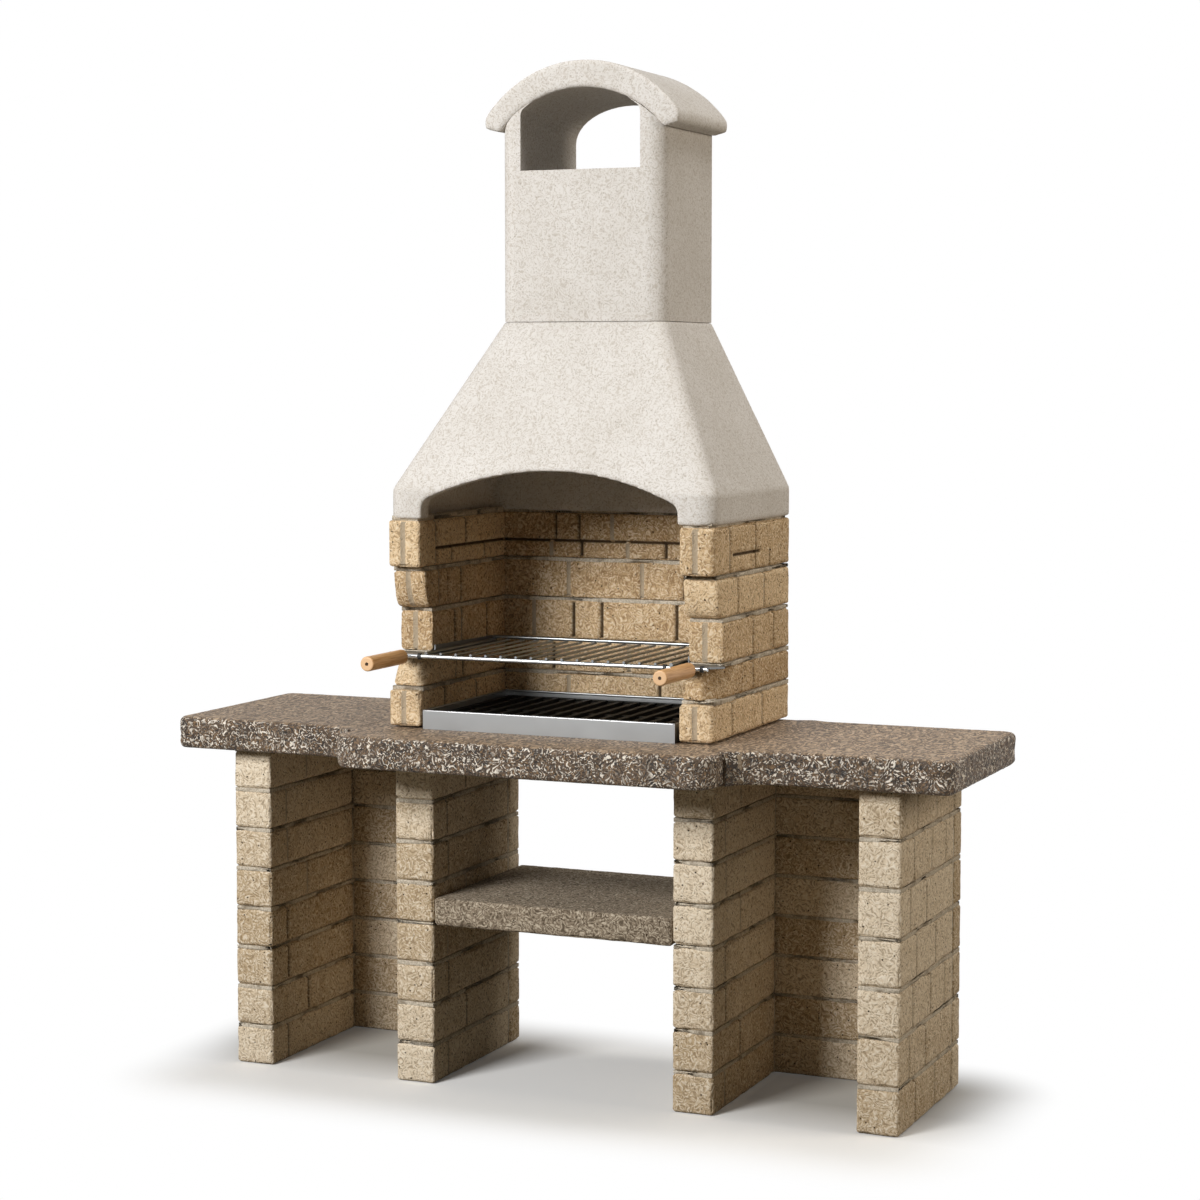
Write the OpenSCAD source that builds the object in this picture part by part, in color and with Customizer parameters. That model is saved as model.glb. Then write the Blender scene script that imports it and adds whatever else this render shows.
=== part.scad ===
// Masonry barbecue: block pedestals, stone worktop, brick hearth, cast hood and chimney,
// with a sliding cooking grill, a sliding fire tray and a lift-out charcoal grate.
// Millimetres, +Z up. The origin is on the ground under the middle of the whole object.

/* [Base walls] */
// Number of courses in each base wall
base_courses = 8; // [6:1:9]
// Number of courses in the right end wall, whose blocks are taller
right_end_courses = 7; // [5:1:9]
// Height of a base block
block_h = 90; // [70:1:110]
// Mortar joint between base blocks
joint = 6; // [4:1:10]
// Depth that the mortar is raked back from the block faces
rake = 4; // [2:0.5:8]
// Thickness of the base walls
wall_t = 100; // [80:1:130]
// Depth of the base walls, front to back
wall_depth = 480; // [420:5:560]
// Length of the end blocks at the back of each wall
end_block = 60; // [50:1:80]
// Distance of each inner wall inside the opening of the hearth above it
bay_inset = 20; // [0:1:40]
// Clear width of each side bay
side_bay = 335; // [280:5:420]
// Rounding of the block arrises
arris_r = 8; // [4:0.5:12]
// Width of the false joints moulded in the block sides
false_joint = 5; // [3:0.5:8]
// Depth of the false joints
false_joint_depth = 3; // [1.5:0.5:5]

/* [Shelf] */
// Number of courses below the shelf
shelf_courses = 4; // [3:1:4]
// Thickness of the shelf
shelf_t = 66; // [50:1:80]
// How far the shelf is let into each wall
bearing_length = 20; // [12:1:40]
// Distance from the shelf front to its bearing lugs
lug_setback = 40; // [25:1:80]
// Clearance round a bearing lug
lug_clearance = 0.5; // [0.3:0.1:0.9]

/* [Worktop] */
// Thickness of the worktop slabs
slab_t = 75; // [55:1:95]
// Overhang of the worktop beyond the end walls
end_overhang = 130; // [60:5:200]
// Overhang of the side slabs in front of the walls
slab_overhang = 55; // [30:1:80]
// Overhang behind the walls
back_overhang = 10; // [5:1:30]
// Width of the hearth slab beyond the hearth, on each side
hearth_slab_margin = 59; // [30:1:80]
// Reach of the hearth slab in front of the walls
hearth_slab_reach = 200; // [160:1:215]
// Corner radius of the hearth slab
hearth_slab_corner = 50; // [20:1:80]
// Joint between two slabs
slab_joint = 2; // [1:0.5:4]
// Length of the curved flare that leads into the hearth slab
flare_length = 130; // [80:1:150]
// Reach of the flare at the slab joint
flare_reach = 50; // [25:1:60]
// Corner radius at the worktop ends
slab_corner = 30; // [10:1:40]
// Rounding of the slab edges
slab_edge = 12; // [6:1:20]

/* [Hearth] */
// Clear width between the hearth cheeks
hearth_w = 640; // [600:5:680]
// Thickness of the hearth cheeks
cheek_t = 85; // [70:1:100]
// Reach of the cheeks in front of the base walls
cheek_reach = 20; // [5:1:40]
// Thickness of the hearth back
hearth_back_t = 50; // [40:1:70]
// Setback of the middle course from the cheek front
cheek_setback = 64; // [40:1:80]
// Setback at the foot of the splayed course
splay_setback = 17; // [5:1:30]
// Setback at the top of the coved course
cove_setback = 26; // [10:1:38]
// Height of hearth course 1, at the bottom
hearth_1_h = 86; // [70:1:110]
// Height of hearth course 2, splayed
hearth_2_h = 74; // [60:1:100]
// Height of hearth course 3
hearth_3_h = 95; // [80:1:115]
// Height of hearth course 4, coved
hearth_4_h = 91; // [75:1:115]
// Height of hearth course 5, at the top
hearth_5_h = 110; // [90:1:130]
// Joint between hearth courses
hearth_joint = 6; // [4.5:0.5:9]
// Thin bed under the hearth and under the hood
thin_bed = 3; // [2:0.5:5]
// Height of the low row in the top course, inside the hearth
low_row = 42; // [30:1:60]
// Distance of the front false joint from the outside of the left cheek
left_front_joint = 34; // [20:1:60]
// Distance of the front false joint from the outside of the right cheek
right_front_joint = 53; // [20:1:60]
// Rounding of the outer front corners of the top and bottom courses
cheek_corner = 22; // [8:1:30]

/* [Hood] */
// Height of the upright skirt of the hood
skirt_h = 68; // [50:1:90]
// Height of the sloping part of the hood
slope_h = 387; // [320:1:460]
// Wall thickness of the hood
hood_wall = 44; // [30:1:52]
// Rounding of the front corners of the hood
hood_corner = 42; // [25:1:50]
// Clear width of the arch in the hood front
arch_w = 636; // [560:2:650]
// Height of the arch at its sides
arch_side_h = 42; // [25:1:60]
// Rise of the arch above its sides
arch_rise = 72; // [50:1:90]
// Radius of the arch haunches
arch_haunch = 30; // [15:1:40]

/* [Chimney] */
// Width of the chimney
chimney_w = 412; // [360:2:460]
// Depth of the chimney
chimney_d = 320; // [280:2:360]
// Wall thickness of the chimney
chimney_wall = 40; // [30:1:50]
// Rounding of the front corners of the chimney
chimney_corner = 44; // [25:1:50]
// Rounding of the back corners of the hood and chimney
back_corner = 12; // [6:1:20]
// Height of the flue block
flue_h = 348; // [280:1:420]
// Clear width of the smoke outlet
outlet_w = 300; // [260:2:316]
// Height of the outlet at its sides, at the front
outlet_side_h = 136; // [110:1:160]
// Height of the outlet in the middle
outlet_h = 186; // [170:1:210]
// Radius of the outlet haunches
outlet_haunch = 24; // [10:1:35]
// Height at which the arch of the rear outlet starts
rear_spring_h = 84; // [60:1:110]
// Drop of the rear outlet below the front one
rear_drop = 14; // [6:1:25]
// Height to which the front outlet is cast open above the underside of the roof
outlet_open = 6; // [3:1:12]
// Radius of the underside of the roof
roof_inner_r = 270; // [250:1:300]
// Radius of the top of the roof
roof_outer_r = 300; // [285:1:330]
// Thickness of the roof in the middle
roof_t = 63; // [50:1:80]
// Whole width of the roof
roof_w = 488; // [460:2:500]
// Height of the roof edge at its tips
roof_tip = 26; // [20:1:30]
// Rounding of the lower edge of the tips
roof_tip_round = 9; // [5:0.5:10]

/* [Cooking grill] */
// Steel thickness of the grill rails
rail_t = 3; // [2:0.5:3.5]
// Width of the flat leg that carries the grill
rail_leg = 20; // [15:1:28]
// Height of the upright leg at its front
upright_h = 20; // [15:1:26]
// Height of the upright leg at its back
upright_back_h = 15; // [12:1:20]
// Distance of the upright leg behind the front of the flat leg
upright_setback = 60; // [30:1:80]
// Length of the grill rails
rail_length = 374; // [340:2:440]
// Reach of the rails in front of the middle hearth course
rail_projection = 52; // [30:1:60]
// Width of the flat cramps that hold the rails, front to back
cramp_w = 72; // [66:1:90]
// Thickness of the cramps
cramp_t = 4; // [3:0.5:4.5]
// Clearance of the mortar round a cramp
cramp_clearance = 0.1; // [0.05:0.05:0.3]
// Reach of the front cramps beyond the cheeks
cramp_reach = 14; // [5:1:25]
// Distance of the rear cramp tips from the outside of the cheeks
cramp_cover = 30; // [15:1:40]
// Diameter of the grill frame rods
rod_d = 8; // [6:0.5:10]
// Diameter of the front bar
bar_d = 10; // [8:0.5:12]
// Diameter of the grill wires
wire_d = 6; // [3.5:0.5:7]
// Depth that crossing rods sink into each other at a weld
weld = 0.5; // [0.2:0.1:0.8]
// Side play between the grill and each rail
grill_play = 8; // [3:0.5:12]
// Depth of the grill over the middle of its end rods
grill_d = 368; // [330:1:420]
// Reach of the grill front bar in front of the base walls
grill_reach = 16; // [16:1:30]
// Number of grill wires
wire_count = 15; // [11:1:21]
// Running clearance of the sliding pieces
running = 0.3; // [0.2:0.05:0.5]

/* [Handles] */
// Distance of a handle outside the side rod of the grill
handle_offset = 51; // [45:1:55]
// Length of the front bar beyond a handle
bar_end = 34; // [26:1:40]
// Length of a wooden handle
handle_length = 172; // [130:1:200]
// Diameter of a wooden handle
handle_d = 34; // [26:1:38]
// Rounding of the handle ends
handle_round = 4; // [2:0.5:8]
// Distance from the middle of the front bar to the handle
tang_length = 26; // [22:1:45]
// Diameter of the tang
tang_d = 9; // [7:0.5:12]
// Depth of the tang inside the handle
tang_depth = 60; // [40:1:90]
// Diameter of the ferrule on the tang
ferrule_d = 18; // [14:0.5:24]
// Length of the ferrule
ferrule_length = 14; // [8:1:20]
// Difference between the two end diameters of the ferrule
ferrule_taper = 4; // [1:0.5:5]
// Outer diameter of the stop rings on the front bar
ring_d = 15; // [13:0.5:15]
// Width of a stop ring
ring_w = 7; // [4:0.5:8]
// Distance of the outer stop ring from the handle
outer_ring = 21; // [12:1:24]
// Distance of the inner left stop ring outside the side rod of the grill
left_ring_offset = 18; // [12:1:24]
// Distance of the inner right stop ring inside the side rod of the grill
right_ring_offset = 16; // [12:1:80]
// Diameter of the handle screw
screw_d = 4; // [3:0.5:5]
// Clearance of the tang and the screw in their bores, and of the rings on the bar
wood_clearance = 0.2; // [0.1:0.05:0.4]

/* [Fire tray] */
// Clearance between the tray and each cheek
tray_clearance = 6; // [3:0.5:12]
// Clearance behind the fire tray
tray_back_gap = 8; // [4:1:40]
// Height of the fire tray
tray_h = 45; // [35:1:60]
// Sheet thickness of the tray
sheet = 2; // [1.5:0.5:3]
// Diameter of the rolled rim of the tray
rim_d = 6; // [4:0.5:8]
// Width of the corner tabs welded inside the back of the tray
tab_w = 22; // [12:1:30]
// Reach of the tray in front of the base walls
tray_reach = 20; // [0:1:30]
// Gap between the grate and the tray walls
grate_gap = 8; // [5:0.5:15]
// Depth of the grate bars
grate_bar_h = 12; // [8:1:15]
// Width of the grate bars
grate_bar_w = 14; // [8:0.5:16]
// Number of grate bars between the side bars
grate_bars = 13; // [7:1:15]
// Height of the grate feet
grate_foot = 16; // [8:1:20]
// Diameter of the rod along the back of the grate
grate_rod_d = 6; // [4:0.5:8]

/* [Hidden] */

stone = "#c2ad88";
golden_stone = "#cdae78";
mortar_grey = "#b9b1a2";
aggregate = "#6e5a49";
shelf_stone = "#9a8b76";
cast_stone = "#d9d3c9";
chrome = "#d7dadc";
steel = "#a9abab";
dark_steel = "#55585a";
cast_iron = "#2d2c2b";
beech = "#cf9f6a";
rubber = "#1d1d1d";

// Sizes that follow from the ones above
e = 1;
least_corner = 2;
wall_h = base_courses * (block_h + joint) - joint;
slab_z = wall_h + joint;
worktop_z = slab_z + slab_t;
centre_bay = hearth_w - 2 * bay_inset;
inner_x = centre_bay / 2;
bay_x = inner_x + wall_t;
end_x = bay_x + side_bay;
worktop_length = 2 * (end_x + wall_t + end_overhang);
hearth_slab_w = hearth_w + 2 * (cheek_t + hearth_slab_margin);
long_block = wall_depth - end_block - joint;
shelf_z = shelf_courses * (block_h + joint) - joint;
handle_tip = grill_reach + tang_length + handle_length;
front_reach = max(hearth_slab_reach, handle_tip);
overall_depth = front_reach + wall_depth + back_overhang;
wall_front = front_reach - overall_depth / 2;
slab_back = wall_depth + back_overhang;

// Heights and levels of the hearth courses
hearth_h = [hearth_1_h, hearth_2_h, hearth_3_h, hearth_4_h, hearth_5_h];
function hearth_level(course) = course == 0 ? worktop_z + thin_bed :
    hearth_level(course - 1) + hearth_h[course - 1] + hearth_joint;
hearth_z = [for (course = [0:4]) hearth_level(course)];
hearth_top = hearth_z[4] + hearth_h[4];
hood_z = hearth_top + thin_bed;
cheek_x = hearth_w / 2;
cheek_depth = cheek_reach + slab_back;
hearth_back_y = slab_back - hearth_back_t;
rail_z = hearth_z[1] + hearth_h[1];
rail_span = hearth_w - 2 * rail_t;
grill_w = rail_span - 2 * grill_play - rod_d;
rail_front = cheek_setback - cheek_reach - rail_projection;

// Levels of the hood and chimney
hood_w = hearth_w + 2 * cheek_t;
flue_z = hood_z + skirt_h + slope_h;
head_z = flue_z + flue_h;
chimney_y = slab_back - chimney_d;
roof_inner_z = head_z + outlet_h - roof_inner_r;
roof_outer_z = head_z + outlet_h + roof_t - roof_outer_r;

// Places in the grill, the tray and the grate
rod_z = rail_z + rail_t + running + rod_d / 2;
bar_z = rod_z - (bar_d + wire_d) / 2 + weld;
back_rod_z = rod_z + (rod_d + wire_d) / 2 - weld;
handle_x = grill_w / 2 + handle_offset;
front_bar_length = 2 * (handle_x + bar_end);
handle_back = -grill_reach - tang_length;
tray_w = hearth_w - 2 * tray_clearance;
tray_d = tray_reach + hearth_back_y - tray_back_gap;
tray_z = worktop_z + running;
grate_w = tray_w - 2 * (sheet + grate_gap);
grate_d = tray_d - 2 * (sheet + grate_gap);
grate_z = tray_z + sheet + running;

// Moves a shape so that y = 0 is the front plane of the base walls
module from_wall_front() {
    translate([0, wall_front, 0]) children();
}

// Makes the right-hand copy of a left-hand shape
module right_hand() {
    mirror([1, 0, 0]) children();
}

// Flat rectangle with true round corners, its corner at the origin
module rounded_rect(w, d, r) {
    translate([r, 0]) square([w - 2 * r, d]);
    translate([0, r]) square([w, d - 2 * r]);
    for (x = [r, w - r], y = [r, d - r])
        translate([x, y]) circle(r, $fn = 48);
}

// Stone block with every arris rounded, its corner at the origin
module block(w, d, h, r = arris_r) {
    intersection() {
        linear_extrude(h) rounded_rect(w, d, r);
        rotate([90, 0, 90]) linear_extrude(w) rounded_rect(d, h, r);
        translate([0, d, 0]) rotate([90, 0, 0]) linear_extrude(d) rounded_rect(w, h, r);
    }
}

// Upright false joints across both long sides of a block that lies along y
module side_grooves(w, places, h) {
    for (y = places, x = [-e, w - false_joint_depth])
        translate([x, y - false_joint / 2, -e]) cube([false_joint_depth + e, false_joint, h + 2 * e]);
}

// Places of the false joints along a length, staggered from course to course
function stagger(length, course) =
    course % 3 == 0 ? [length * 0.30, length * 0.66] :
    course % 3 == 1 ? [length * 0.48] : [length * 0.24, length * 0.57];

// One base wall of full-length blocks with end blocks behind them, its corner at the origin
module base_wall(courses) {
    h = (wall_h - (courses - 1) * joint) / courses;
    for (course = [0:courses - 1])
        translate([0, 0, course * (h + joint)]) {
            difference() {
                block(wall_t, long_block, h);
                side_grooves(wall_t, stagger(long_block, course), h);
            }
            translate([0, long_block + joint, 0]) block(wall_t, end_block, h);
        }
}

// Mortar of one base wall: a bed over each course and the upright joint before the end blocks
module wall_mortar(courses) {
    h = (wall_h - (courses - 1) * joint) / courses;
    for (course = [0:courses - 1])
        translate([rake, rake, course * (h + joint)]) {
            translate([0, 0, h]) cube([wall_t - 2 * rake, wall_depth - 2 * rake, joint]);
            translate([0, long_block - rake, 0]) cube([wall_t - 2 * rake, joint, h]);
        }
}

// Back wall of a side bay, its corner at the origin
module bay_back() {
    for (course = [0:base_courses - 1])
        translate([0, 0, course * (block_h + joint)])
            difference() {
                block(side_bay, end_block, block_h, arris_r / 2);
                for (x = stagger(side_bay, course))
                    translate([x - false_joint / 2, -e, -e])
                        cube([false_joint, false_joint_depth + e, block_h + 2 * e]);
            }
}

// Mortar beds of a bay back
module bay_mortar() {
    for (course = [0:base_courses - 1])
        translate([0, rake, course * (block_h + joint) + block_h])
            cube([side_bay, end_block - 2 * rake, joint]);
}

// Bearing lug of the shelf inside the left inner wall, grown by a clearance
module shelf_lug(grow = 0) {
    translate([-inner_x - bearing_length - grow, lug_setback - grow, shelf_z])
        cube([bearing_length + grow + e, long_block - 2 * lug_setback + 2 * grow, shelf_t + grow]);
}

module left_inner_blocks() {
    difference() {
        translate([-bay_x, 0, 0]) base_wall(base_courses);
        shelf_lug(lug_clearance);
    }
}

module left_end_wall() {
    color(stone) from_wall_front() translate([-end_x - wall_t, 0, 0]) base_wall(base_courses);
}

module left_inner_wall() {
    color(stone) from_wall_front() left_inner_blocks();
}

module right_inner_wall() {
    color(stone) from_wall_front() right_hand() left_inner_blocks();
}

module right_end_wall() {
    color(stone) from_wall_front() translate([end_x, 0, 0]) base_wall(right_end_courses);
}

module left_bay_back() {
    color(stone) from_wall_front() translate([-end_x, wall_depth - end_block, 0]) bay_back();
}

module right_bay_back() {
    color(stone) from_wall_front() translate([bay_x, wall_depth - end_block, 0]) bay_back();
}

// Mortar of a left-hand pedestal, whose end wall has the given number of courses
module pedestal_mortar(end_courses) {
    translate([-end_x - wall_t, 0, 0]) wall_mortar(end_courses);
    difference() {
        translate([-bay_x, 0, 0]) wall_mortar(base_courses);
        shelf_lug(lug_clearance);
    }
    translate([-end_x, wall_depth - end_block, 0]) bay_mortar();
}

module left_base_mortar() {
    color(mortar_grey) from_wall_front() pedestal_mortar(base_courses);
}

module right_base_mortar() {
    color(mortar_grey) from_wall_front() right_hand() pedestal_mortar(right_end_courses);
}

module shelf() {
    color(shelf_stone) from_wall_front() {
        translate([-inner_x, 0, shelf_z]) block(centre_bay, wall_depth, shelf_t);
        shelf_lug();
        right_hand() shelf_lug();
    }
}

// Side slab on the left, with its flare towards the hearth slab
module side_slab() {
    slab_w = worktop_length / 2 - hearth_slab_w / 2 - slab_joint;
    slab_d = slab_overhang + slab_back;
    flare_r = (pow(flare_length, 2) + pow(flare_reach, 2)) / (2 * flare_reach);
    translate([-worktop_length / 2, -slab_overhang, slab_z]) {
        intersection() {
            linear_extrude(slab_t) rounded_rect(slab_w + slab_corner, slab_d, slab_corner);
            rotate([90, 0, 90]) linear_extrude(slab_w) rounded_rect(slab_d, slab_t, slab_edge);
            translate([0, slab_d, 0]) rotate([90, 0, 0])
                linear_extrude(slab_d) rounded_rect(slab_w + slab_corner, slab_t, slab_edge);
        }
        linear_extrude(slab_t) difference() {
            translate([slab_w - flare_length, -flare_reach]) square([flare_length, flare_reach + slab_edge]);
            translate([slab_w - flare_length, -flare_r]) circle(flare_r, $fn = 180);
        }
    }
}

module left_worktop_slab() {
    color(aggregate) from_wall_front() side_slab();
}

module right_worktop_slab() {
    color(aggregate) from_wall_front() right_hand() side_slab();
}

module hearth_slab() {
    slab_d = hearth_slab_reach + slab_back;
    color(aggregate) from_wall_front()
        translate([-hearth_slab_w / 2, -hearth_slab_reach, slab_z])
            intersection() {
                linear_extrude(slab_t) union() {
                    rounded_rect(hearth_slab_w, slab_d, hearth_slab_corner);
                    translate([0, slab_d / 2]) square([hearth_slab_w, slab_d / 2]);
                }
                rotate([90, 0, 90]) linear_extrude(hearth_slab_w) rounded_rect(slab_d, slab_t, slab_edge);
            }
}

// Grout in the two joints between the slabs, held back from every face
module worktop_grout() {
    color(mortar_grey) from_wall_front()
        for (side = [-1, 1])
            translate([side * (hearth_slab_w + slab_joint) / 2, 0, 0])
                translate([-slab_joint / 2, -slab_overhang, slab_z + slab_edge])
                    cube([slab_joint, slab_overhang + slab_back - slab_edge, slab_t - slab_edge - rake]);
}

// Side view of the front end of a cheek course, as the setback at its foot and head
module cheek_profile(course) {
    h = hearth_h[course];
    depth = cheek_depth;
    if (course == 1)
        polygon([[splay_setback, 0], [depth, 0], [depth, h], [cheek_setback, h]]);
    else if (course == 3) {
        run = cheek_setback - cove_setback;
        cove_r = (pow(run, 2) + pow(h, 2)) / (2 * run);
        difference() {
            translate([cove_setback, 0]) square([depth - cove_setback, h]);
            translate([cheek_setback - cove_r, 0]) circle(cove_r, $fn = 120);
        }
    } else {
        setback = course == 2 ? cheek_setback : 0;
        translate([setback, 0]) rounded_rect(depth - setback, h, arris_r);
    }
}

// Plan of a cheek course, set back by its least setback, with its outer front corner rounder
module cheek_plan(course) {
    setback = [0, splay_setback, cheek_setback, cove_setback, 0][course];
    corner = course == 0 || course == 4 ? cheek_corner : arris_r;
    intersection() {
        translate([0, setback]) rounded_rect(cheek_t, cheek_depth - setback, arris_r);
        union() {
            translate([corner, setback + corner]) circle(corner, $fn = 48);
            translate([corner, 0]) square([cheek_t, cheek_depth]);
            translate([0, setback + corner]) square([cheek_t, cheek_depth]);
        }
    }
}

// Course of the left cheek, seated at its level, with its front joint at a distance from outside
module cheek(course, front_joint = left_front_joint) {
    h = hearth_h[course];
    from_wall_front() translate([-cheek_x - cheek_t, -cheek_reach, hearth_z[course]])
        difference() {
            intersection() {
                linear_extrude(h) cheek_plan(course);
                rotate([90, 0, 90]) linear_extrude(cheek_t) cheek_profile(course);
                translate([0, cheek_depth, 0]) rotate([90, 0, 0])
                    linear_extrude(cheek_depth) rounded_rect(cheek_t, h, arris_r / 2);
            }
            if (course % 2 == 0)
                translate([front_joint, -e, -e])
                    cube([false_joint, (course == 2 ? cheek_setback : 0) + false_joint_depth + e, h + 2 * e]);
            side_grooves(cheek_t, stagger(cheek_depth, course), h);
            if (course == 4)
                translate([cheek_t - false_joint_depth, cheek_depth * 0.24, low_row])
                    cube([false_joint_depth + e, cheek_depth, false_joint]);
        }
}

// Course of the hearth back between the cheeks
module hearth_back(course) {
    h = hearth_h[course];
    from_wall_front() translate([-cheek_x, hearth_back_y, hearth_z[course]])
        difference() {
            block(hearth_w, hearth_back_t, h, arris_r / 2);
            for (x = stagger(hearth_w, course))
                translate([x, -e, -e]) cube([false_joint, false_joint_depth + e, h + 2 * e]);
            if (course == 4)
                translate([-e, -e, low_row]) cube([hearth_w + 2 * e, false_joint_depth + e, false_joint]);
        }
}

module left_cheek_1() { color(golden_stone) cheek(0); }
module left_cheek_2() { color(golden_stone) cheek(1); }
module left_cheek_3() { color(golden_stone) cheek(2); }
module left_cheek_4() { color(golden_stone) cheek(3); }
module left_cheek_5() { color(golden_stone) cheek(4); }
module right_cheek_1() { color(golden_stone) right_hand() cheek(0, right_front_joint); }
module right_cheek_2() { color(golden_stone) right_hand() cheek(1, right_front_joint); }
module right_cheek_3() { color(golden_stone) right_hand() cheek(2, right_front_joint); }
module right_cheek_4() { color(golden_stone) right_hand() cheek(3, right_front_joint); }
module right_cheek_5() { color(golden_stone) right_hand() cheek(4, right_front_joint); }
module hearth_back_1() { color(golden_stone) hearth_back(0); }
module hearth_back_2() { color(golden_stone) hearth_back(1); }
module hearth_back_3() { color(golden_stone) hearth_back(2); }
module hearth_back_4() { color(golden_stone) hearth_back(3); }
module hearth_back_5() { color(golden_stone) hearth_back(4); }

// Mortar bed of the hearth, open at the front, held back from the faces above and below it
module hearth_bed(z, h, setback) {
    outer = cheek_x + cheek_t - rake;
    front = setback - cheek_reach + rake;
    translate([0, 0, z]) linear_extrude(h) difference() {
        translate([-outer, front]) square([2 * outer, slab_back - rake - front]);
        translate([-cheek_x - rake, front - e])
            square([hearth_w + 2 * rake, hearth_back_y + rake - front + e]);
    }
}

module hearth_mortar() {
    color(mortar_grey) from_wall_front() {
        hearth_bed(worktop_z, thin_bed, 0);
        hearth_bed(hearth_z[0] + hearth_h[0], hearth_joint, splay_setback);
        difference() {
            hearth_bed(rail_z, hearth_joint, cheek_setback);
            for (side = [0, 1]) mirror([side, 0, 0]) rail_cramps(cramp_clearance);
        }
        hearth_bed(hearth_z[2] + hearth_h[2], hearth_joint, cheek_setback);
        hearth_bed(hearth_z[3] + hearth_h[3], hearth_joint, cove_setback);
        hearth_bed(hearth_top, thin_bed, 0);
    }
}

// Plan of the hood or chimney: its back on the slab back, its front corners rounder
module chimney_plan(w, front_y, corner, inset = 0) {
    half = w / 2 - inset;
    front = front_y + inset;
    back = slab_back - inset;
    r = max(corner - inset, least_corner);
    translate([-half + r, front]) square([2 * (half - r), back - front]);
    translate([-half, front + r]) square([2 * half, back - back_corner - front - r]);
    translate([-half + back_corner, front + r]) square([2 * (half - back_corner), back - front - r]);
    for (side = [-1, 1]) {
        translate([side * (half - r), front + r]) circle(r, $fn = 32);
        translate([side * (half - back_corner), back - back_corner]) circle(back_corner, $fn = 32);
    }
}

// Hood shape, drawn in by an inset for its hollow and run past both ends by a margin
module hood_form(inset = 0, margin = 0) {
    hull() {
        translate([0, 0, hood_z - margin])
            linear_extrude(skirt_h + margin) chimney_plan(hood_w, -cheek_reach, hood_corner, inset);
        translate([0, 0, flue_z - e])
            linear_extrude(e + margin) chimney_plan(chimney_w, chimney_y, chimney_corner, inset);
    }
}

// Segmental arch with round haunches, standing on y = 0
module arch_opening(w, side_h, rise, haunch) {
    r = (pow(w / 2, 2) + pow(rise, 2)) / (2 * rise);
    centre_y = side_h + rise - r;
    haunch_x = w / 2 - haunch;
    haunch_y = centre_y + sqrt(pow(r - haunch, 2) - pow(haunch_x, 2));
    translate([-w / 2, -e]) square([w, haunch_y + e]);
    for (side = [-1, 1])
        translate([side * haunch_x, haunch_y]) circle(haunch, $fn = 48);
    intersection() {
        translate([0, centre_y]) circle(r, $fn = 240);
        translate([-haunch_x - haunch / 3, 0]) square([2 * (haunch_x + haunch / 3), side_h + rise + e]);
    }
}

module smoke_hood() {
    color(cast_stone) from_wall_front()
        difference() {
            hood_form();
            hood_form(hood_wall, e);
            translate([0, hood_wall * 2 - cheek_reach, hood_z]) rotate([90, 0, 0])
                linear_extrude(hood_wall * 3) arch_opening(arch_w, arch_side_h, arch_rise, arch_haunch);
        }
}

module flue_block() {
    color(cast_stone) from_wall_front() translate([0, 0, flue_z])
        linear_extrude(flue_h) difference() {
            chimney_plan(chimney_w, chimney_y, chimney_corner);
            chimney_plan(chimney_w, chimney_y, chimney_corner, chimney_wall);
        }
}

// Smoke outlet through the chimney head: a flat arch in front, a rounder and lower one behind
module outlet_form() {
    hull() {
        translate([0, chimney_y + e, head_z]) rotate([90, 0, 0])
            linear_extrude(2 * e)
                arch_opening(outlet_w, outlet_side_h, outlet_h + outlet_open - outlet_side_h, outlet_haunch);
        translate([0, slab_back + e, head_z]) rotate([90, 0, 0])
            linear_extrude(e * 2) {
                translate([-outlet_w / 2, -e]) square([outlet_w, rear_spring_h + e]);
                translate([0, rear_spring_h])
                    scale([1, (outlet_h - rear_drop - rear_spring_h) / (outlet_w / 2)])
                        circle(outlet_w / 2, $fn = 48);
            }
    }
}

module chimney_head() {
    color(cast_stone) from_wall_front()
        difference() {
            intersection() {
                translate([0, 0, head_z])
                    linear_extrude(outlet_h) chimney_plan(chimney_w, chimney_y, chimney_corner);
                translate([0, slab_back + e, roof_inner_z]) rotate([90, 0, 0])
                    cylinder(h = chimney_d + 2 * e, r = roof_inner_r, $fn = 180);
            }
            outlet_form();
        }
}

// Cross-section of the arched roof: blunt tips with a round lower edge, drawn in to the chimney
module roof_section() {
    half = roof_w / 2;
    tip_low = sqrt(pow(roof_outer_r, 2) - pow(half, 2)) + roof_outer_z - roof_tip;
    round_x = half - roof_tip_round;
    round_z = tip_low + roof_tip_round;
    crown = roof_outer_z + roof_outer_r;
    seat_x = chimney_w / 2;
    seat = sqrt(pow(roof_inner_r, 2) - pow(seat_x, 2)) + roof_inner_z;
    difference() {
        intersection() {
            translate([0, roof_outer_z]) circle(roof_outer_r, $fn = 240);
            union() {
                polygon([[0, roof_inner_z], [seat_x, seat], [round_x, tip_low], [half, round_z],
                    [half, crown], [-half, crown], [-half, round_z], [-round_x, tip_low], [-seat_x, seat]]);
                for (side = [-1, 1])
                    translate([side * round_x, round_z]) circle(roof_tip_round, $fn = 48);
            }
        }
        translate([0, roof_inner_z]) circle(roof_inner_r, $fn = 240);
    }
}

module chimney_roof() {
    color(cast_stone) from_wall_front()
        translate([0, slab_back, 0]) rotate([90, 0, 0]) linear_extrude(chimney_d) roof_section();
}

// Flat cramp let into the left rail, pointed at its outer end, with its front edge at a given place
module rail_cramp(front, reach, grow) {
    tip = cheek_x + cheek_t + reach;
    root = rail_span / 2;
    bevel = cramp_w / 3;
    translate([0, front - grow, rail_z]) linear_extrude(cramp_t + grow)
        polygon([[-root, 0], [bevel - tip, 0], [-tip, bevel + grow],
            [2 * bevel - tip, cramp_w + 2 * grow], [-root, cramp_w + 2 * grow]]);
}

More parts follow.
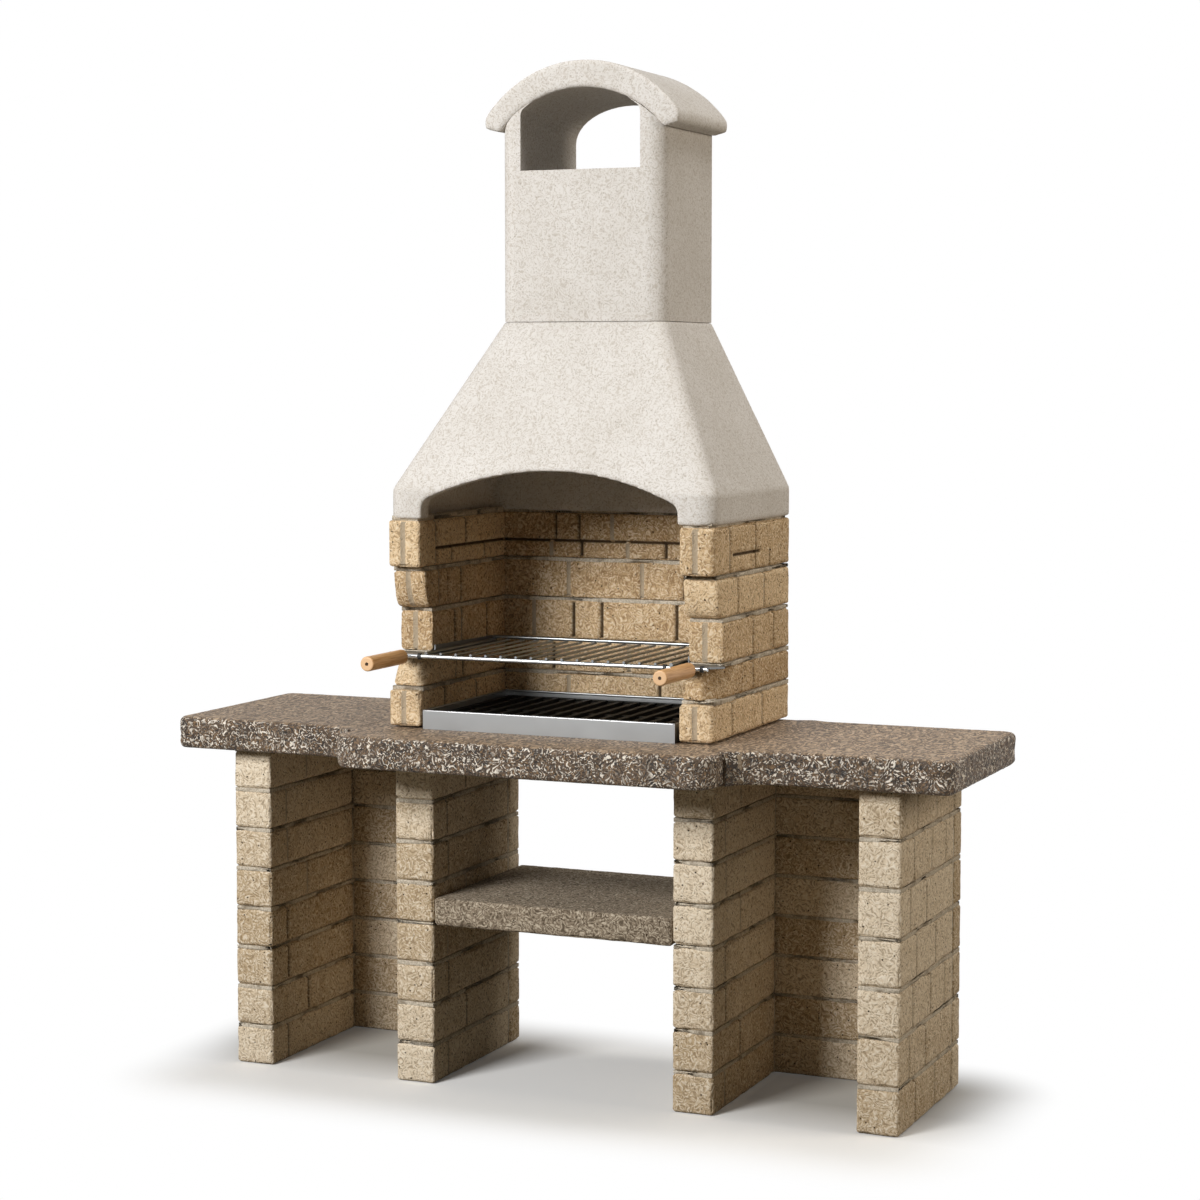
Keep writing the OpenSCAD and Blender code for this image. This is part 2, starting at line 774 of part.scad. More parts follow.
// Cramps of the left rail, lying in the hearth joint
module rail_cramps(grow = 0) {
    rail_cramp(rail_front, cramp_reach, grow);
    rail_cramp(rail_front + rail_length - cramp_w, -cramp_cover, grow);
}

// Left rail: a flat leg on two cramps carries the grill, and the upright leg falls to the back
module grill_rail() {
    inner = rail_span / 2;
    from_wall_front() {
        translate([-inner - rail_t, rail_front, rail_z]) {
            cube([rail_leg, rail_length, rail_t]);
            rotate([90, 0, 90]) linear_extrude(rail_t)
                polygon([[upright_setback, 0], [rail_length, 0], [rail_length, upright_back_h],
                    [upright_setback, upright_h]]);
        }
        rail_cramps();
    }
}

module left_grill_rail() {
    color(dark_steel) grill_rail();
}

module right_grill_rail() {
    color(dark_steel) right_hand() grill_rail();
}

// Straight rod along y, or along x where across is true, centred on its middle
module rod(length, d, across = false) {
    rotate(across ? [0, 90, 0] : [90, 0, 0]) cylinder(h = length, d = d, center = true, $fn = 32);
}

// The wires and side rods lie over the front bar and under the back rod
module grill_grid() {
    back = grill_d - grill_reach;
    length = grill_d + bar_d / 2;
    middle = back - length / 2;
    pitch = grill_w / (wire_count + 1);
    color(chrome) from_wall_front() {
        for (side = [-1, 1])
            translate([side * grill_w / 2, middle, rod_z]) rod(length, rod_d);
        translate([0, back - rod_d / 2, back_rod_z]) rod(grill_w + rod_d, rod_d, across = true);
        for (i = [1:wire_count])
            translate([i * pitch - grill_w / 2, middle, rod_z]) rod(length, wire_d);
    }
}

module grill_front_bar() {
    color(chrome) from_wall_front()
        translate([0, -grill_reach, bar_z]) rod(front_bar_length, bar_d, across = true);
}

// Steel tang of the left handle, from the front bar into the wood
module handle_tang() {
    length = tang_length + tang_depth - bar_d / 2;
    from_wall_front() translate([-handle_x, -grill_reach - bar_d / 2, bar_z]) rotate([90, 0, 0])
        difference() {
            cylinder(h = length, d = tang_d, $fn = 48);
            translate([0, 0, length - 3 * screw_d])
                cylinder(h = 3 * screw_d + e, d = screw_d + wood_clearance, $fn = 32);
        }
}

// Ferrule against the back end of the left handle
module handle_ferrule() {
    from_wall_front() translate([-handle_x, handle_back + ferrule_length, bar_z]) rotate([90, 0, 0])
        difference() {
            cylinder(h = ferrule_length, d1 = ferrule_d - ferrule_taper, d2 = ferrule_d, $fn = 48);
            translate([0, 0, -e]) cylinder(h = ferrule_length + 2 * e, d = tang_d + wood_clearance, $fn = 48);
        }
}

// Black stop rings on the left end of the front bar, one on each side of the handle
module stop_rings(inner_ring_x) {
    for (x = [-handle_x - outer_ring, -inner_ring_x])
        from_wall_front() translate([x - ring_w / 2, -grill_reach, bar_z]) rotate([0, 90, 0])
            difference() {
                cylinder(h = ring_w, d = ring_d, $fn = 48);
                translate([0, 0, -e]) cylinder(h = ring_w + 2 * e, d = bar_d + wood_clearance, $fn = 48);
            }
}

// Left wooden handle: a turned dowel, bored for the tang and for its screw
module wooden_handle() {
    r = handle_d / 2;
    from_wall_front() translate([-handle_x, handle_back, bar_z]) rotate([90, 0, 0])
        difference() {
            rotate_extrude($fn = 72) intersection() {
                translate([-r, 0]) rounded_rect(2 * r, handle_length, handle_round);
                square([r, handle_length]);
            }
            translate([0, 0, -e]) cylinder(h = tang_depth + 2 * e, d = tang_d + wood_clearance, $fn = 48);
            cylinder(h = handle_length + e, d = screw_d + wood_clearance, $fn = 32);
            translate([0, 0, handle_length - screw_d])
                cylinder(h = screw_d + e, d = 2 * screw_d + wood_clearance, $fn = 32);
        }
}

// Screw from the front end of the left handle into the end of the tang
module handle_screw() {
    head = screw_d * 0.6;
    from_wall_front() translate([-handle_x, handle_back - tang_depth + 2 * screw_d, bar_z])
        rotate([90, 0, 0]) {
            cylinder(h = handle_length - tang_depth + screw_d, d = screw_d, $fn = 32);
            translate([0, 0, handle_length - tang_depth + screw_d])
                difference() {
                    cylinder(h = head, d = 2 * screw_d, $fn = 32);
                    translate([-screw_d, -screw_d / 10, head / 2]) cube([2 * screw_d, screw_d / 5, head]);
                }
        }
}

module left_handle_tang() { color(steel) handle_tang(); }
module right_handle_tang() { color(steel) right_hand() handle_tang(); }
module left_handle_ferrule() { color(chrome) handle_ferrule(); }
module right_handle_ferrule() { color(chrome) right_hand() handle_ferrule(); }
module left_stop_ring() { color(rubber) stop_rings(grill_w / 2 + left_ring_offset); }
module right_stop_ring() { color(rubber) right_hand() stop_rings(grill_w / 2 - right_ring_offset); }
module left_handle() { color(beech) wooden_handle(); }
module right_handle() { color(beech) right_hand() wooden_handle(); }
module left_handle_screw() { color(steel) handle_screw(); }
module right_handle_screw() { color(steel) right_hand() handle_screw(); }

module fire_tray() {
    rim_z = tray_h - rim_d / 2;
    color(steel) from_wall_front() translate([-tray_w / 2, -tray_reach, tray_z]) {
        difference() {
            cube([tray_w, tray_d, rim_z]);
            translate([sheet, sheet, sheet]) cube([tray_w - 2 * sheet, tray_d - 2 * sheet, tray_h]);
        }
        for (y = [rim_d / 2, tray_d - rim_d / 2])
            translate([tray_w / 2, y, rim_z]) rod(tray_w, rim_d, across = true);
        for (x = [rim_d / 2, tray_w - rim_d / 2])
            translate([x, tray_d / 2, rim_z]) rod(tray_d, rim_d);
        for (x = [sheet, tray_w - sheet - tab_w])
            translate([x, tray_d - 2 * sheet, sheet]) cube([tab_w, sheet, rim_z - sheet]);
    }
}

module charcoal_grate() {
    pitch = (grate_w - grate_bar_w) / (grate_bars + 1);
    color(cast_iron) from_wall_front()
        translate([-grate_w / 2, sheet + grate_gap - tray_reach, grate_z]) {
            translate([0, 0, grate_foot]) {
                for (i = [0:grate_bars + 1])
                    translate([i * pitch, 0, 0]) grate_bar();
                for (y = [0, (grate_d - grate_bar_w) / 2, grate_d - grate_bar_w])
                    translate([0, y, 0]) cube([grate_w, grate_bar_w, grate_bar_h * 0.6]);
                translate([grate_w / 2, grate_d - grate_rod_d / 3, grate_bar_h - grate_rod_d / 3])
                    rod(grate_w, grate_rod_d, across = true);
            }
            for (x = [grate_bar_w, grate_w - grate_bar_w], y = [grate_bar_w, grate_d - grate_bar_w])
                translate([x, y, 0])
                    cylinder(h = grate_foot + e, d1 = grate_bar_w, d2 = 1.5 * grate_bar_w, $fn = 32);
        }
}

// One bar of the grate, narrower at its foot as a casting is
module grate_bar() {
    draft = grate_bar_w / 5;
    translate([0, grate_d, 0]) rotate([90, 0, 0]) linear_extrude(grate_d)
        polygon([[draft, 0], [grate_bar_w - draft, 0], [grate_bar_w, grate_bar_h], [0, grate_bar_h]]);
}

left_end_wall();
left_inner_wall();
right_inner_wall();
right_end_wall();
left_bay_back();
right_bay_back();
left_base_mortar();
right_base_mortar();
shelf();
left_worktop_slab();
hearth_slab();
right_worktop_slab();
worktop_grout();
left_cheek_1();
left_cheek_2();
left_cheek_3();
left_cheek_4();
left_cheek_5();
right_cheek_1();
right_cheek_2();
right_cheek_3();
right_cheek_4();
right_cheek_5();
hearth_back_1();
hearth_back_2();
hearth_back_3();
hearth_back_4();
hearth_back_5();
hearth_mortar();
smoke_hood();
flue_block();
chimney_head();
chimney_roof();
left_grill_rail();
right_grill_rail();
grill_grid();
grill_front_bar();
left_handle_tang();
right_handle_tang();
left_handle_ferrule();
right_handle_ferrule();
left_stop_ring();
right_stop_ring();
left_handle();
right_handle();
left_handle_screw();
right_handle_screw();
fire_tray();
charcoal_grate();
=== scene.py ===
"""Dresses the masonry barbecue: block walls, stone worktop, brick hearth, cast hood, grill and fire tray."""

from __future__ import annotations

import itertools
import logging
import math
from dataclasses import dataclass, field
from enum import Enum
from functools import partial
from typing import Any, Callable, Sequence

import bpy
import numpy as np
from mathutils import Euler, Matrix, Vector

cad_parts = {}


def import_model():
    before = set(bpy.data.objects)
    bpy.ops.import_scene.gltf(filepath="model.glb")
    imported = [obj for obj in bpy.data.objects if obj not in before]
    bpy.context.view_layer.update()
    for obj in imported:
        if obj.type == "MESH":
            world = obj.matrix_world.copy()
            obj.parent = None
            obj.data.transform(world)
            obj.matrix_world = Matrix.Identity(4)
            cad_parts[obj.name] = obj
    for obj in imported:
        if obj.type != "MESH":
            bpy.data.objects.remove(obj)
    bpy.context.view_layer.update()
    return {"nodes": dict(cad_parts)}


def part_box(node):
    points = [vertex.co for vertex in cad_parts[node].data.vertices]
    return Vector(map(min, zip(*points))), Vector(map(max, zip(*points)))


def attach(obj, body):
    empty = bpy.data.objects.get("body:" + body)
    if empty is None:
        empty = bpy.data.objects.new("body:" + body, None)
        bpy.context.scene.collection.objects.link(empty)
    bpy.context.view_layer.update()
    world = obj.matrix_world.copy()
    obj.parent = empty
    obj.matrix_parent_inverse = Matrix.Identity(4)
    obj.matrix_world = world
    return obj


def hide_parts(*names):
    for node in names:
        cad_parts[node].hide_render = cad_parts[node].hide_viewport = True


LOG = logging.getLogger("barbecue")
MM = 0.001

NOISE = "ShaderNodeTexNoise"
CELLS = "ShaderNodeTexVoronoi"
MIX = "ShaderNodeMix"
RANGE = "ShaderNodeMapRange"
MATH = "ShaderNodeMath"
VECTOR = "ShaderNodeVectorMath"
AXES = "ShaderNodeSeparateXYZ"
BUMP = "ShaderNodeBump"
SURFACE = "ShaderNodeBsdfPrincipled"
OUTPUT = "ShaderNodeOutputMaterial"

Adder = Callable[..., bpy.types.Node]
Socket = bpy.types.NodeSocket
Plan = list[tuple[float, float]]
Colour = tuple[float, float, float, float]


class Body(str, Enum):
    """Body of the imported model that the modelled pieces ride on; the carried nodes keep their own."""

    MASONRY = "masonry"


class Slot(str, Enum):
    """Material slots of the record."""

    TUMBLED_BLOCK = "tumbled_block"
    HEARTH_BLOCK = "hearth_block"
    MORTAR = "mortar"
    SHELF_STONE = "shelf_stone"
    AGGREGATE_SLAB = "aggregate_slab"
    CAST_STONE = "cast_stone"
    RAIL_STEEL = "rail_steel"
    CHROMED_WIRE = "chromed_wire"
    PLAIN_STEEL = "plain_steel"
    BLACK_RING = "black_ring"
    BEECH = "beech"
    TRAY_STEEL = "tray_steel"
    CAST_IRON = "cast_iron"


# ---- shader helpers ----


def linear(colour: str) -> tuple[float, float, float, float]:
    """Turns an sRGB hex colour to linear.

    Args:
        colour: six hex digits after a hash.

    Returns:
        Linear red, green, blue and an alpha of one.
    """
    channels = [int(colour[i : i + 2], 16) / 255 for i in (1, 3, 5)]
    values = [c / 12.92 if c <= 0.04045 else ((c + 0.055) / 1.055) ** 2.4 for c in channels]
    return (values[0], values[1], values[2], 1.0)


def add_node(
    tree: bpy.types.NodeTree, kind: str, inputs: dict[Any, Any] | None = None, **settings: Any
) -> bpy.types.Node:
    """Adds a node with its settings and links.

    Args:
        tree: node tree that takes the node.
        kind: identifier of the node type.
        inputs: input name or number, and the constant, hex colour, socket or node that goes there;
            a node gives its first output. Of a range, 0 is the value, 1 and 2 its limits, and 3 and 4
            what they turn to; of a mix, 0 is the share of the second colour, and 6 and 7 the colours.
        settings: properties of the node.

    Returns:
        The new node.
    """
    node = tree.nodes.new(kind)
    for name, value in settings.items():
        setattr(node, name, value)
    for name, value in (inputs or {}).items():
        if isinstance(value, bpy.types.Node):
            value = next(socket for socket in value.outputs if socket.enabled)
        if isinstance(value, bpy.types.NodeSocket):
            tree.links.new(value, node.inputs[name])
        else:
            node.inputs[name].default_value = linear(value) if isinstance(value, str) else value
    return node


def per_metre(size_mm: float) -> float:
    """Texture scale of a pattern whose parts are size_mm apart."""
    return 1 / (size_mm * MM)


@dataclass(frozen=True)
class Finish:
    """One real material with the way its surface was made."""

    name: str

    def start(self) -> tuple[bpy.types.Material, Adder, Socket]:
        """Makes an empty node material of this name.

        Returns:
            The material, a function that adds nodes to it, and the socket with the place on the object.
        """
        material = bpy.data.materials.new(self.name)
        material.use_nodes = True
        tree = material.node_tree
        tree.nodes.clear()
        add = partial(add_node, tree)
        return material, add, add("ShaderNodeTexCoord").outputs["Object"]

    def curls(
        self, add: Adder, place: Socket, size_mm: float, bend_mm: float, number: float
    ) -> bpy.types.Node:
        """Short curled strokes, as a wet-pressed or washed face shows them.

        They are a fine noise that a coarser one shears.

        Args:
            add: function that adds a node to the material.
            place: socket with the place on the object.
            size_mm: distance between strokes.
            bend_mm: size of the curls that the strokes follow.
            number: number of the noise field.

        Returns:
            A node that gives about 0.3 in the hollows and 0.7 on the ridges.
        """
        coarse = {"Vector": place, "W": number, "Scale": per_metre(bend_mm), "Detail": 1.0}
        bend = add(NOISE, coarse, noise_dimensions="4D")
        reach = 2.0 * bend_mm * MM
        sheared = {0: bend.outputs["Color"], 1: (reach, reach, reach), 2: place}
        bent = add(VECTOR, sheared, operation="MULTIPLY_ADD")
        return add(NOISE, {"Vector": bent.outputs[0], "Scale": per_metre(size_mm), "Detail": 1.0})

    def material(self) -> bpy.types.Material:
        """Makes the Blender material."""
        raise NotImplementedError


@dataclass(frozen=True)
class PressedBlock(Finish):
    """Tumbled, wet-pressed block of sand and cement.

    The press leaves a dry skin of short curled ridges with small pits, a few dark pores and no gloss.
    Over a sandy ground the ridges are painted cream, a painted highlight, and the hollows between
    them brown, a painted shade of the same relief that the bump also draws.
    """

    dark: str = "#c0a988"
    middle: str = "#e6d5bb"
    # The light and hollow colours are a painted highlight and a painted shade of the curled relief.
    light: str = "#f8eedc"
    hollow: str = "#6f5738"
    pit: str = "#3d2e1d"
    mortar: str = "#b3a58f"
    mortar_pale: str = "#cfc3b0"
    open_joint: str = "#3a2c1b"
    stroke_mm: float = 5.5
    curl_mm: float = 26.0
    grain_mm: float = 4.0
    drift_mm: float = 60.0
    pore_mm: float = 15.0
    relief_mm: float = 2.4
    ridge_highlight_share: float = 0.6
    hollow_shade_share: float = 0.5
    roughness: float = 0.95

    def material(self) -> bpy.types.Material:
        """Makes the block material: curls with a painted highlight on their ridges and painted shade in
        their hollows, grain, pores, drifting tone and the mortar of the false joints.

        Returns:
            The Blender material.
        """
        material, add, place = self.start()
        tone = add("ShaderNodeAttribute", attribute_name="tone").outputs["Fac"]
        joint = add("ShaderNodeAttribute", attribute_name="joint").outputs["Fac"]
        curl = self.curls(add, place, self.stroke_mm, self.curl_mm, 0.0)
        # The grain is about 1.5 mm in the real block and is drawn at 4 mm, so that it shows.
        grain = add(
            NOISE, {"Vector": place, "Scale": per_metre(self.grain_mm), "Detail": 2.0, "Roughness": 0.6}
        )
        drift = add(
            NOISE, {"Vector": place, "Scale": per_metre(self.drift_mm), "Detail": 4.0, "Roughness": 0.6}
        )
        pores = add(CELLS, {"Vector": place, "Scale": per_metre(self.pore_mm)})
        chance = add("ShaderNodeSeparateColor", {0: pores.outputs["Color"]})
        round_pore = add(RANGE, {0: pores.outputs["Distance"], 1: 0.08, 2: 0.17, 3: 1.0, 4: 0.0})
        few = add(RANGE, {0: chance, 1: 0.5, 2: 0.6})
        pore = add(MATH, {0: round_pore, 1: few}, operation="MULTIPLY")
        swing = add(MATH, {0: drift, 1: tone}, operation="ADD")
        share = add(RANGE, {0: swing, 1: 0.5, 2: 1.4})
        ground = add(MIX, {0: share, 6: self.dark, 7: self.middle}, data_type="RGBA")
        # Painted highlight: the ridges of the curls are drawn towards the light colour.
        ridge_highlight = add(RANGE, {0: curl, 1: 0.52, 2: 0.66, 4: self.ridge_highlight_share})
        lit = add(MIX, {0: ridge_highlight, 6: ground, 7: self.light}, data_type="RGBA")
        # Painted shade: the hollows of the curls are drawn towards the hollow colour.
        low = add(RANGE, {0: curl, 1: 0.36, 2: 0.48, 3: self.hollow_shade_share, 4: 0.0})
        shade = add(MIX, {0: low, 6: lit, 7: self.hollow}, data_type="RGBA")
        pitted = add(MIX, {0: pore, 6: shade, 7: self.pit}, data_type="RGBA")
        bed = add(MIX, {0: grain, 6: self.mortar, 7: self.mortar_pale}, data_type="RGBA")
        smeared = add(MATH, {0: grain, 1: 1.4, 2: joint}, operation="MULTIPLY_ADD")
        smear = add(RANGE, {0: smeared, 1: 1.02, 2: 1.35})
        filled = add(MIX, {0: smear, 6: pitted, 7: bed}, data_type="RGBA")
        open_line = add(RANGE, {0: joint, 1: 0.0, 2: -1.0, 4: 0.95})
        lined = add(MIX, {0: open_line, 6: filled, 7: self.open_joint}, data_type="RGBA")
        skin = add(MATH, {0: grain, 1: 0.4, 2: curl}, operation="MULTIPLY_ADD")
        depth = add(MATH, {0: pore, 1: -0.6, 2: skin}, operation="MULTIPLY_ADD")
        bump = add(BUMP, {"Strength": 1.0, "Distance": self.relief_mm * MM, "Height": depth})
        matt = {"Base Color": lined, "Roughness": self.roughness, "Specular IOR Level": 0.2, "Normal": bump}
        add(OUTPUT, {0: add(SURFACE, matt)})
        return material


@dataclass(frozen=True)
class LimeMortar(Finish):
    """Lime and sand mortar, raked with a stick and left to dry.

    It dries pale and matt; the eye sees fine sand, and stains where it lies deeper.
    """

    pale: str = "#d8cebd"
    sandy: str = "#a89c89"
    stain: str = "#6b5c48"
    stained: float = 0.6
    sand_mm: float = 4.0
    patch_mm: float = 38.0
    relief_mm: float = 1.5
    roughness: float = 0.95

    def material(self) -> bpy.types.Material:
        """Makes the mortar material.

        Returns:
            The Blender material.
        """
        material, add, place = self.start()
        # The sand is about 1 mm in real mortar and is drawn at 4 mm, so that it shows.
        sand = add(NOISE, {"Vector": place, "Scale": per_metre(self.sand_mm), "Detail": 4.0})
        patch = add(NOISE, {"Vector": place, "Scale": per_metre(self.patch_mm), "Detail": 3.0})
        sandy = add(RANGE, {0: sand, 1: 0.35, 2: 0.65})
        body = add(MIX, {0: sandy, 6: self.sandy, 7: self.pale}, data_type="RGBA")
        wet = add(RANGE, {0: patch, 1: 0.54, 2: 0.68, 4: self.stained})
        colour = add(MIX, {0: wet, 6: body, 7: self.stain}, data_type="RGBA")
        bump = add(BUMP, {"Strength": 1.0, "Distance": self.relief_mm * MM, "Height": sand})
        matt = {"Base Color": colour, "Roughness": self.roughness, "Specular IOR Level": 0.2, "Normal": bump}
        add(OUTPUT, {0: add(SURFACE, matt)})
        return material


@dataclass(frozen=True)
class ExposedAggregate(Finish):
    """Concrete with split white, black and tan stone, washed on its broken edges and rubbed on top.

    The washed edge shows the stone as bright and dark flecks a few millimetres across, while the
    rubbed top is browner, closer and a little shinier.
    """

    matrix: str = "#5c4b3b"
    deep: str = "#392d22"
    black: str = "#15110e"
    white: str = "#ede4d6"
    tan: str = "#84694b"
    top: str = "#c3a98b"
    top_dark: str = "#564432"
    fleck_mm: float = 6.0
    swirl_mm: float = 7.5
    curl_mm: float = 24.0
    fine_mm: float = 4.0
    clump_mm: float = 30.0
    drift_mm: float = 90.0
    relief_mm: float = 2.6
    roughness: float = 0.62

    def material(self) -> bpy.types.Material:
        """Makes the slab material: flecks on the edges, rubbed cement over fainter flecks on top.

        Returns:
            The Blender material.
        """
        material, add, place = self.start()
        # The grain of the cement is under 1 mm in the real slab and is drawn at 4 mm, so that it shows.
        fine = add(
            NOISE, {"Vector": place, "Scale": per_metre(self.fine_mm), "Detail": 3.0, "Roughness": 0.6}
        )
        drift = add(
            NOISE, {"Vector": place, "Scale": per_metre(self.drift_mm), "Detail": 4.0, "Roughness": 0.6}
        )
        clump = add(NOISE, {"Vector": place, "Scale": per_metre(self.clump_mm), "Detail": 2.0})
        fields = (3.1, 7.7, 12.9)
        first, second, third = (
            self.curls(add, place, self.fleck_mm, self.curl_mm, number) for number in fields
        )
        ground_share = add(RANGE, {0: drift, 1: 0.35, 2: 0.65})
        ground = add(MIX, {0: ground_share, 6: self.deep, 7: self.matrix}, data_type="RGBA")
        tan_part = add(RANGE, {0: third, 1: 0.54, 2: 0.60, 4: 0.8})
        warm = add(MIX, {0: tan_part, 6: ground, 7: self.tan}, data_type="RGBA")
        black_part = add(RANGE, {0: second, 1: 0.45, 2: 0.38, 4: 0.95})
        dark = add(MIX, {0: black_part, 6: warm, 7: self.black}, data_type="RGBA")
        sparse = add(RANGE, {0: clump, 1: 0.36, 2: 0.56, 3: 0.25})
        white_line = add(RANGE, {0: first, 1: 0.555, 2: 0.62})
        white_part = add(MATH, {0: white_line, 1: sparse}, operation="MULTIPLY")
        chips = add(MIX, {0: white_part, 6: dark, 7: self.white}, data_type="RGBA")
        facing = add(AXES, {0: add("ShaderNodeNewGeometry").outputs["True Normal"]})
        on_top = add(RANGE, {0: facing.outputs[2], 1: 0.70, 2: 0.95})
        # The float was drawn towards the hearth, so its marks are longer that way.
        floated = add("ShaderNodeMapping", {"Vector": place, "Scale": (1.0, 0.5, 1.0)}).outputs[0]
        swirl = self.curls(add, floated, self.swirl_mm, self.curl_mm, 21.3)
        rubbed_share = add(MATH, {0: fine, 1: 0.3, 2: swirl}, operation="MULTIPLY_ADD")
        rubbed_part = add(RANGE, {0: rubbed_share, 1: 0.58, 2: 0.80})
        rubbed = add(MIX, {0: rubbed_part, 6: self.top_dark, 7: self.top}, data_type="RGBA")
        faint = add(MIX, {0: 0.2, 6: rubbed, 7: chips}, data_type="RGBA")
        colour = add(MIX, {0: on_top, 6: chips, 7: faint}, data_type="RGBA")
        stones = add(MATH, {0: first, 1: second}, operation="ADD")
        lumps = add(MATH, {0: fine, 1: 0.4, 2: stones}, operation="MULTIPLY_ADD")
        strength = add(RANGE, {0: on_top, 3: 1.0, 4: 0.35})
        bump = add(BUMP, {"Strength": strength, "Distance": self.relief_mm * MM, "Height": lumps})
        dull = {"Base Color": colour, "Roughness": self.roughness, "Specular IOR Level": 0.4, "Normal": bump}
        add(OUTPUT, {0: add(SURFACE, dull)})
        return material


@dataclass(frozen=True)
class CastConcrete(Finish):
    """Fine white-cement concrete, cast in a mould and lightly blasted.

    Blasting frees the sand, so the eye sees a warm off-white with dense brown and grey specks
    and a faint curled grain, quite matt.
    """

    base: str = "#d6d1ca"
    pale: str = "#e3dfda"
    sand: str = "#aa9d8c"
    speck: str = "#7a6c5a"
    speck_mm: float = 5.5
    ridge_mm: float = 5.0
    curl_mm: float = 24.0
    sand_mm: float = 4.0
    cloud_mm: float = 150.0
    relief_mm: float = 0.8
    roughness: float = 0.9

    def material(self) -> bpy.types.Material:
        """Makes the cast material.

        Returns:
            The Blender material.
        """
        material, add, place = self.start()
        cloud = add(NOISE, {"Vector": place, "Scale": per_metre(self.cloud_mm), "Detail": 4.0})
        # The freed sand is under 1 mm in the real casting and is drawn at 4 mm, so that it shows.
        sand = add(
            NOISE, {"Vector": place, "Scale": per_metre(self.sand_mm), "Detail": 4.0, "Roughness": 0.65}
        )
        ridge = self.curls(add, place, self.ridge_mm, self.curl_mm, 5.3)
        specks = add(CELLS, {"Vector": place, "Scale": per_metre(self.speck_mm)})
        chance = add("ShaderNodeSeparateColor", {0: specks.outputs["Color"]})
        grain = add(RANGE, {0: specks.outputs["Distance"], 1: 0.18, 2: 0.34, 3: 1.0, 4: 0.0})
        few = add(RANGE, {0: chance, 1: 0.50, 2: 0.85})
        spot = add(MATH, {0: grain, 1: few}, operation="MULTIPLY")
        clouded = add(RANGE, {0: cloud, 1: 0.2, 2: 0.8})
        ground = add(MIX, {0: clouded, 6: self.base, 7: self.pale}, data_type="RGBA")
        rough = add(MATH, {0: sand, 1: 0.5, 2: ridge}, operation="MULTIPLY_ADD")
        sandy = add(RANGE, {0: rough, 1: 0.58, 2: 0.80, 3: 0.5, 4: 0.0})
        sanded = add(MIX, {0: sandy, 6: ground, 7: self.sand}, data_type="RGBA")
        spotted = add(RANGE, {0: spot, 4: 0.45})
        colour = add(MIX, {0: spotted, 6: sanded, 7: self.speck}, data_type="RGBA")
        bump = add(BUMP, {"Strength": 1.0, "Distance": self.relief_mm * MM, "Height": rough})
        matt = {"Base Color": colour, "Roughness": self.roughness, "Specular IOR Level": 0.3, "Normal": bump}
        add(OUTPUT, {0: add(SURFACE, matt)})
        return material


@dataclass(frozen=True)
class Metal(Finish):
    """Bare or plated metal with the fine marks of its rolling, drawing or casting.

    The marks run along one axis and spread the shine across it.
    """

    colour: str = "#d8dadc"
    roughness: float = 0.2
    spread: float = 0.1
    mark_mm: tuple[float, float, float] = (4.0, 4.0, 4.0)
    cloud_mm: float = 60.0
    relief_mm: float = 0.0

    def material(self) -> bpy.types.Material:
        """Makes the metal material.

        Returns:
            The Blender material.
        """
        material, add, place = self.start()
        stretch = tuple(per_metre(size) for size in self.mark_mm)
        marks = add("ShaderNodeMapping", {"Vector": place, "Scale": stretch})
        scratch = add(NOISE, {"Vector": marks, "Scale": 1.0, "Detail": 4.0})
        cloud = add(NOISE, {"Vector": place, "Scale": per_metre(self.cloud_mm), "Detail": 3.0})
        mixed = add(MATH, {0: scratch, 1: cloud}, operation="ADD")
        shine = {0: mixed, 1: 0.6, 2: 1.4, 3: self.roughness, 4: self.roughness + self.spread}
        inputs = {"Base Color": self.colour, "Metallic": 1.0, "Roughness": add(RANGE, shine)}
        if self.relief_mm:
            relief = {"Strength": 0.6, "Distance": self.relief_mm * MM, "Height": scratch}
            inputs["Normal"] = add(BUMP, relief)
        add(OUTPUT, {0: add(SURFACE, inputs)})
        return material


@dataclass(frozen=True)
class TurnedBeech(Finish):
    """Beech turned on a lathe and oiled.

    The eye sees a pale tan with fine darker grain along the handle, lighter end grain and a soft shine.
    """

    pale: str = "#d9ab76"
    dark: str = "#b98650"
    end: str = "#e6bd91"
    pore_mm: float = 3.0
    grain_mm: float = 60.0
    roughness: float = 0.45

    def material(self) -> bpy.types.Material:
        """Makes the wood material, with its grain along Y.

        Returns:
            The Blender material.
        """
        material, add, place = self.start()
        # Beech pores are under 0.1 mm wide and are drawn 3 mm apart, so that the grain shows.
        stretch = (per_metre(self.pore_mm), per_metre(self.grain_mm), per_metre(self.pore_mm))
        along = add("ShaderNodeMapping", {"Vector": place, "Scale": stretch})
        grain = add(NOISE, {"Vector": along, "Scale": 1.0, "Detail": 5.0})
        grained = add(RANGE, {0: grain, 1: 0.35, 2: 0.68})
        side = add(MIX, {0: grained, 6: self.pale, 7: self.dark}, data_type="RGBA")
        facing = add(AXES, {0: add("ShaderNodeNewGeometry").outputs["Normal"]})
        either = add(MATH, {0: facing.outputs[1]}, operation="ABSOLUTE")
        cut = add(RANGE, {0: either, 1: 0.6, 2: 0.9})
        colour = add(MIX, {0: cut, 6: side, 7: self.end}, data_type="RGBA")
        oiled = {"Base Color": colour, "Roughness": self.roughness, "Specular IOR Level": 0.4}
        add(OUTPUT, {0: add(SURFACE, oiled)})
        return material


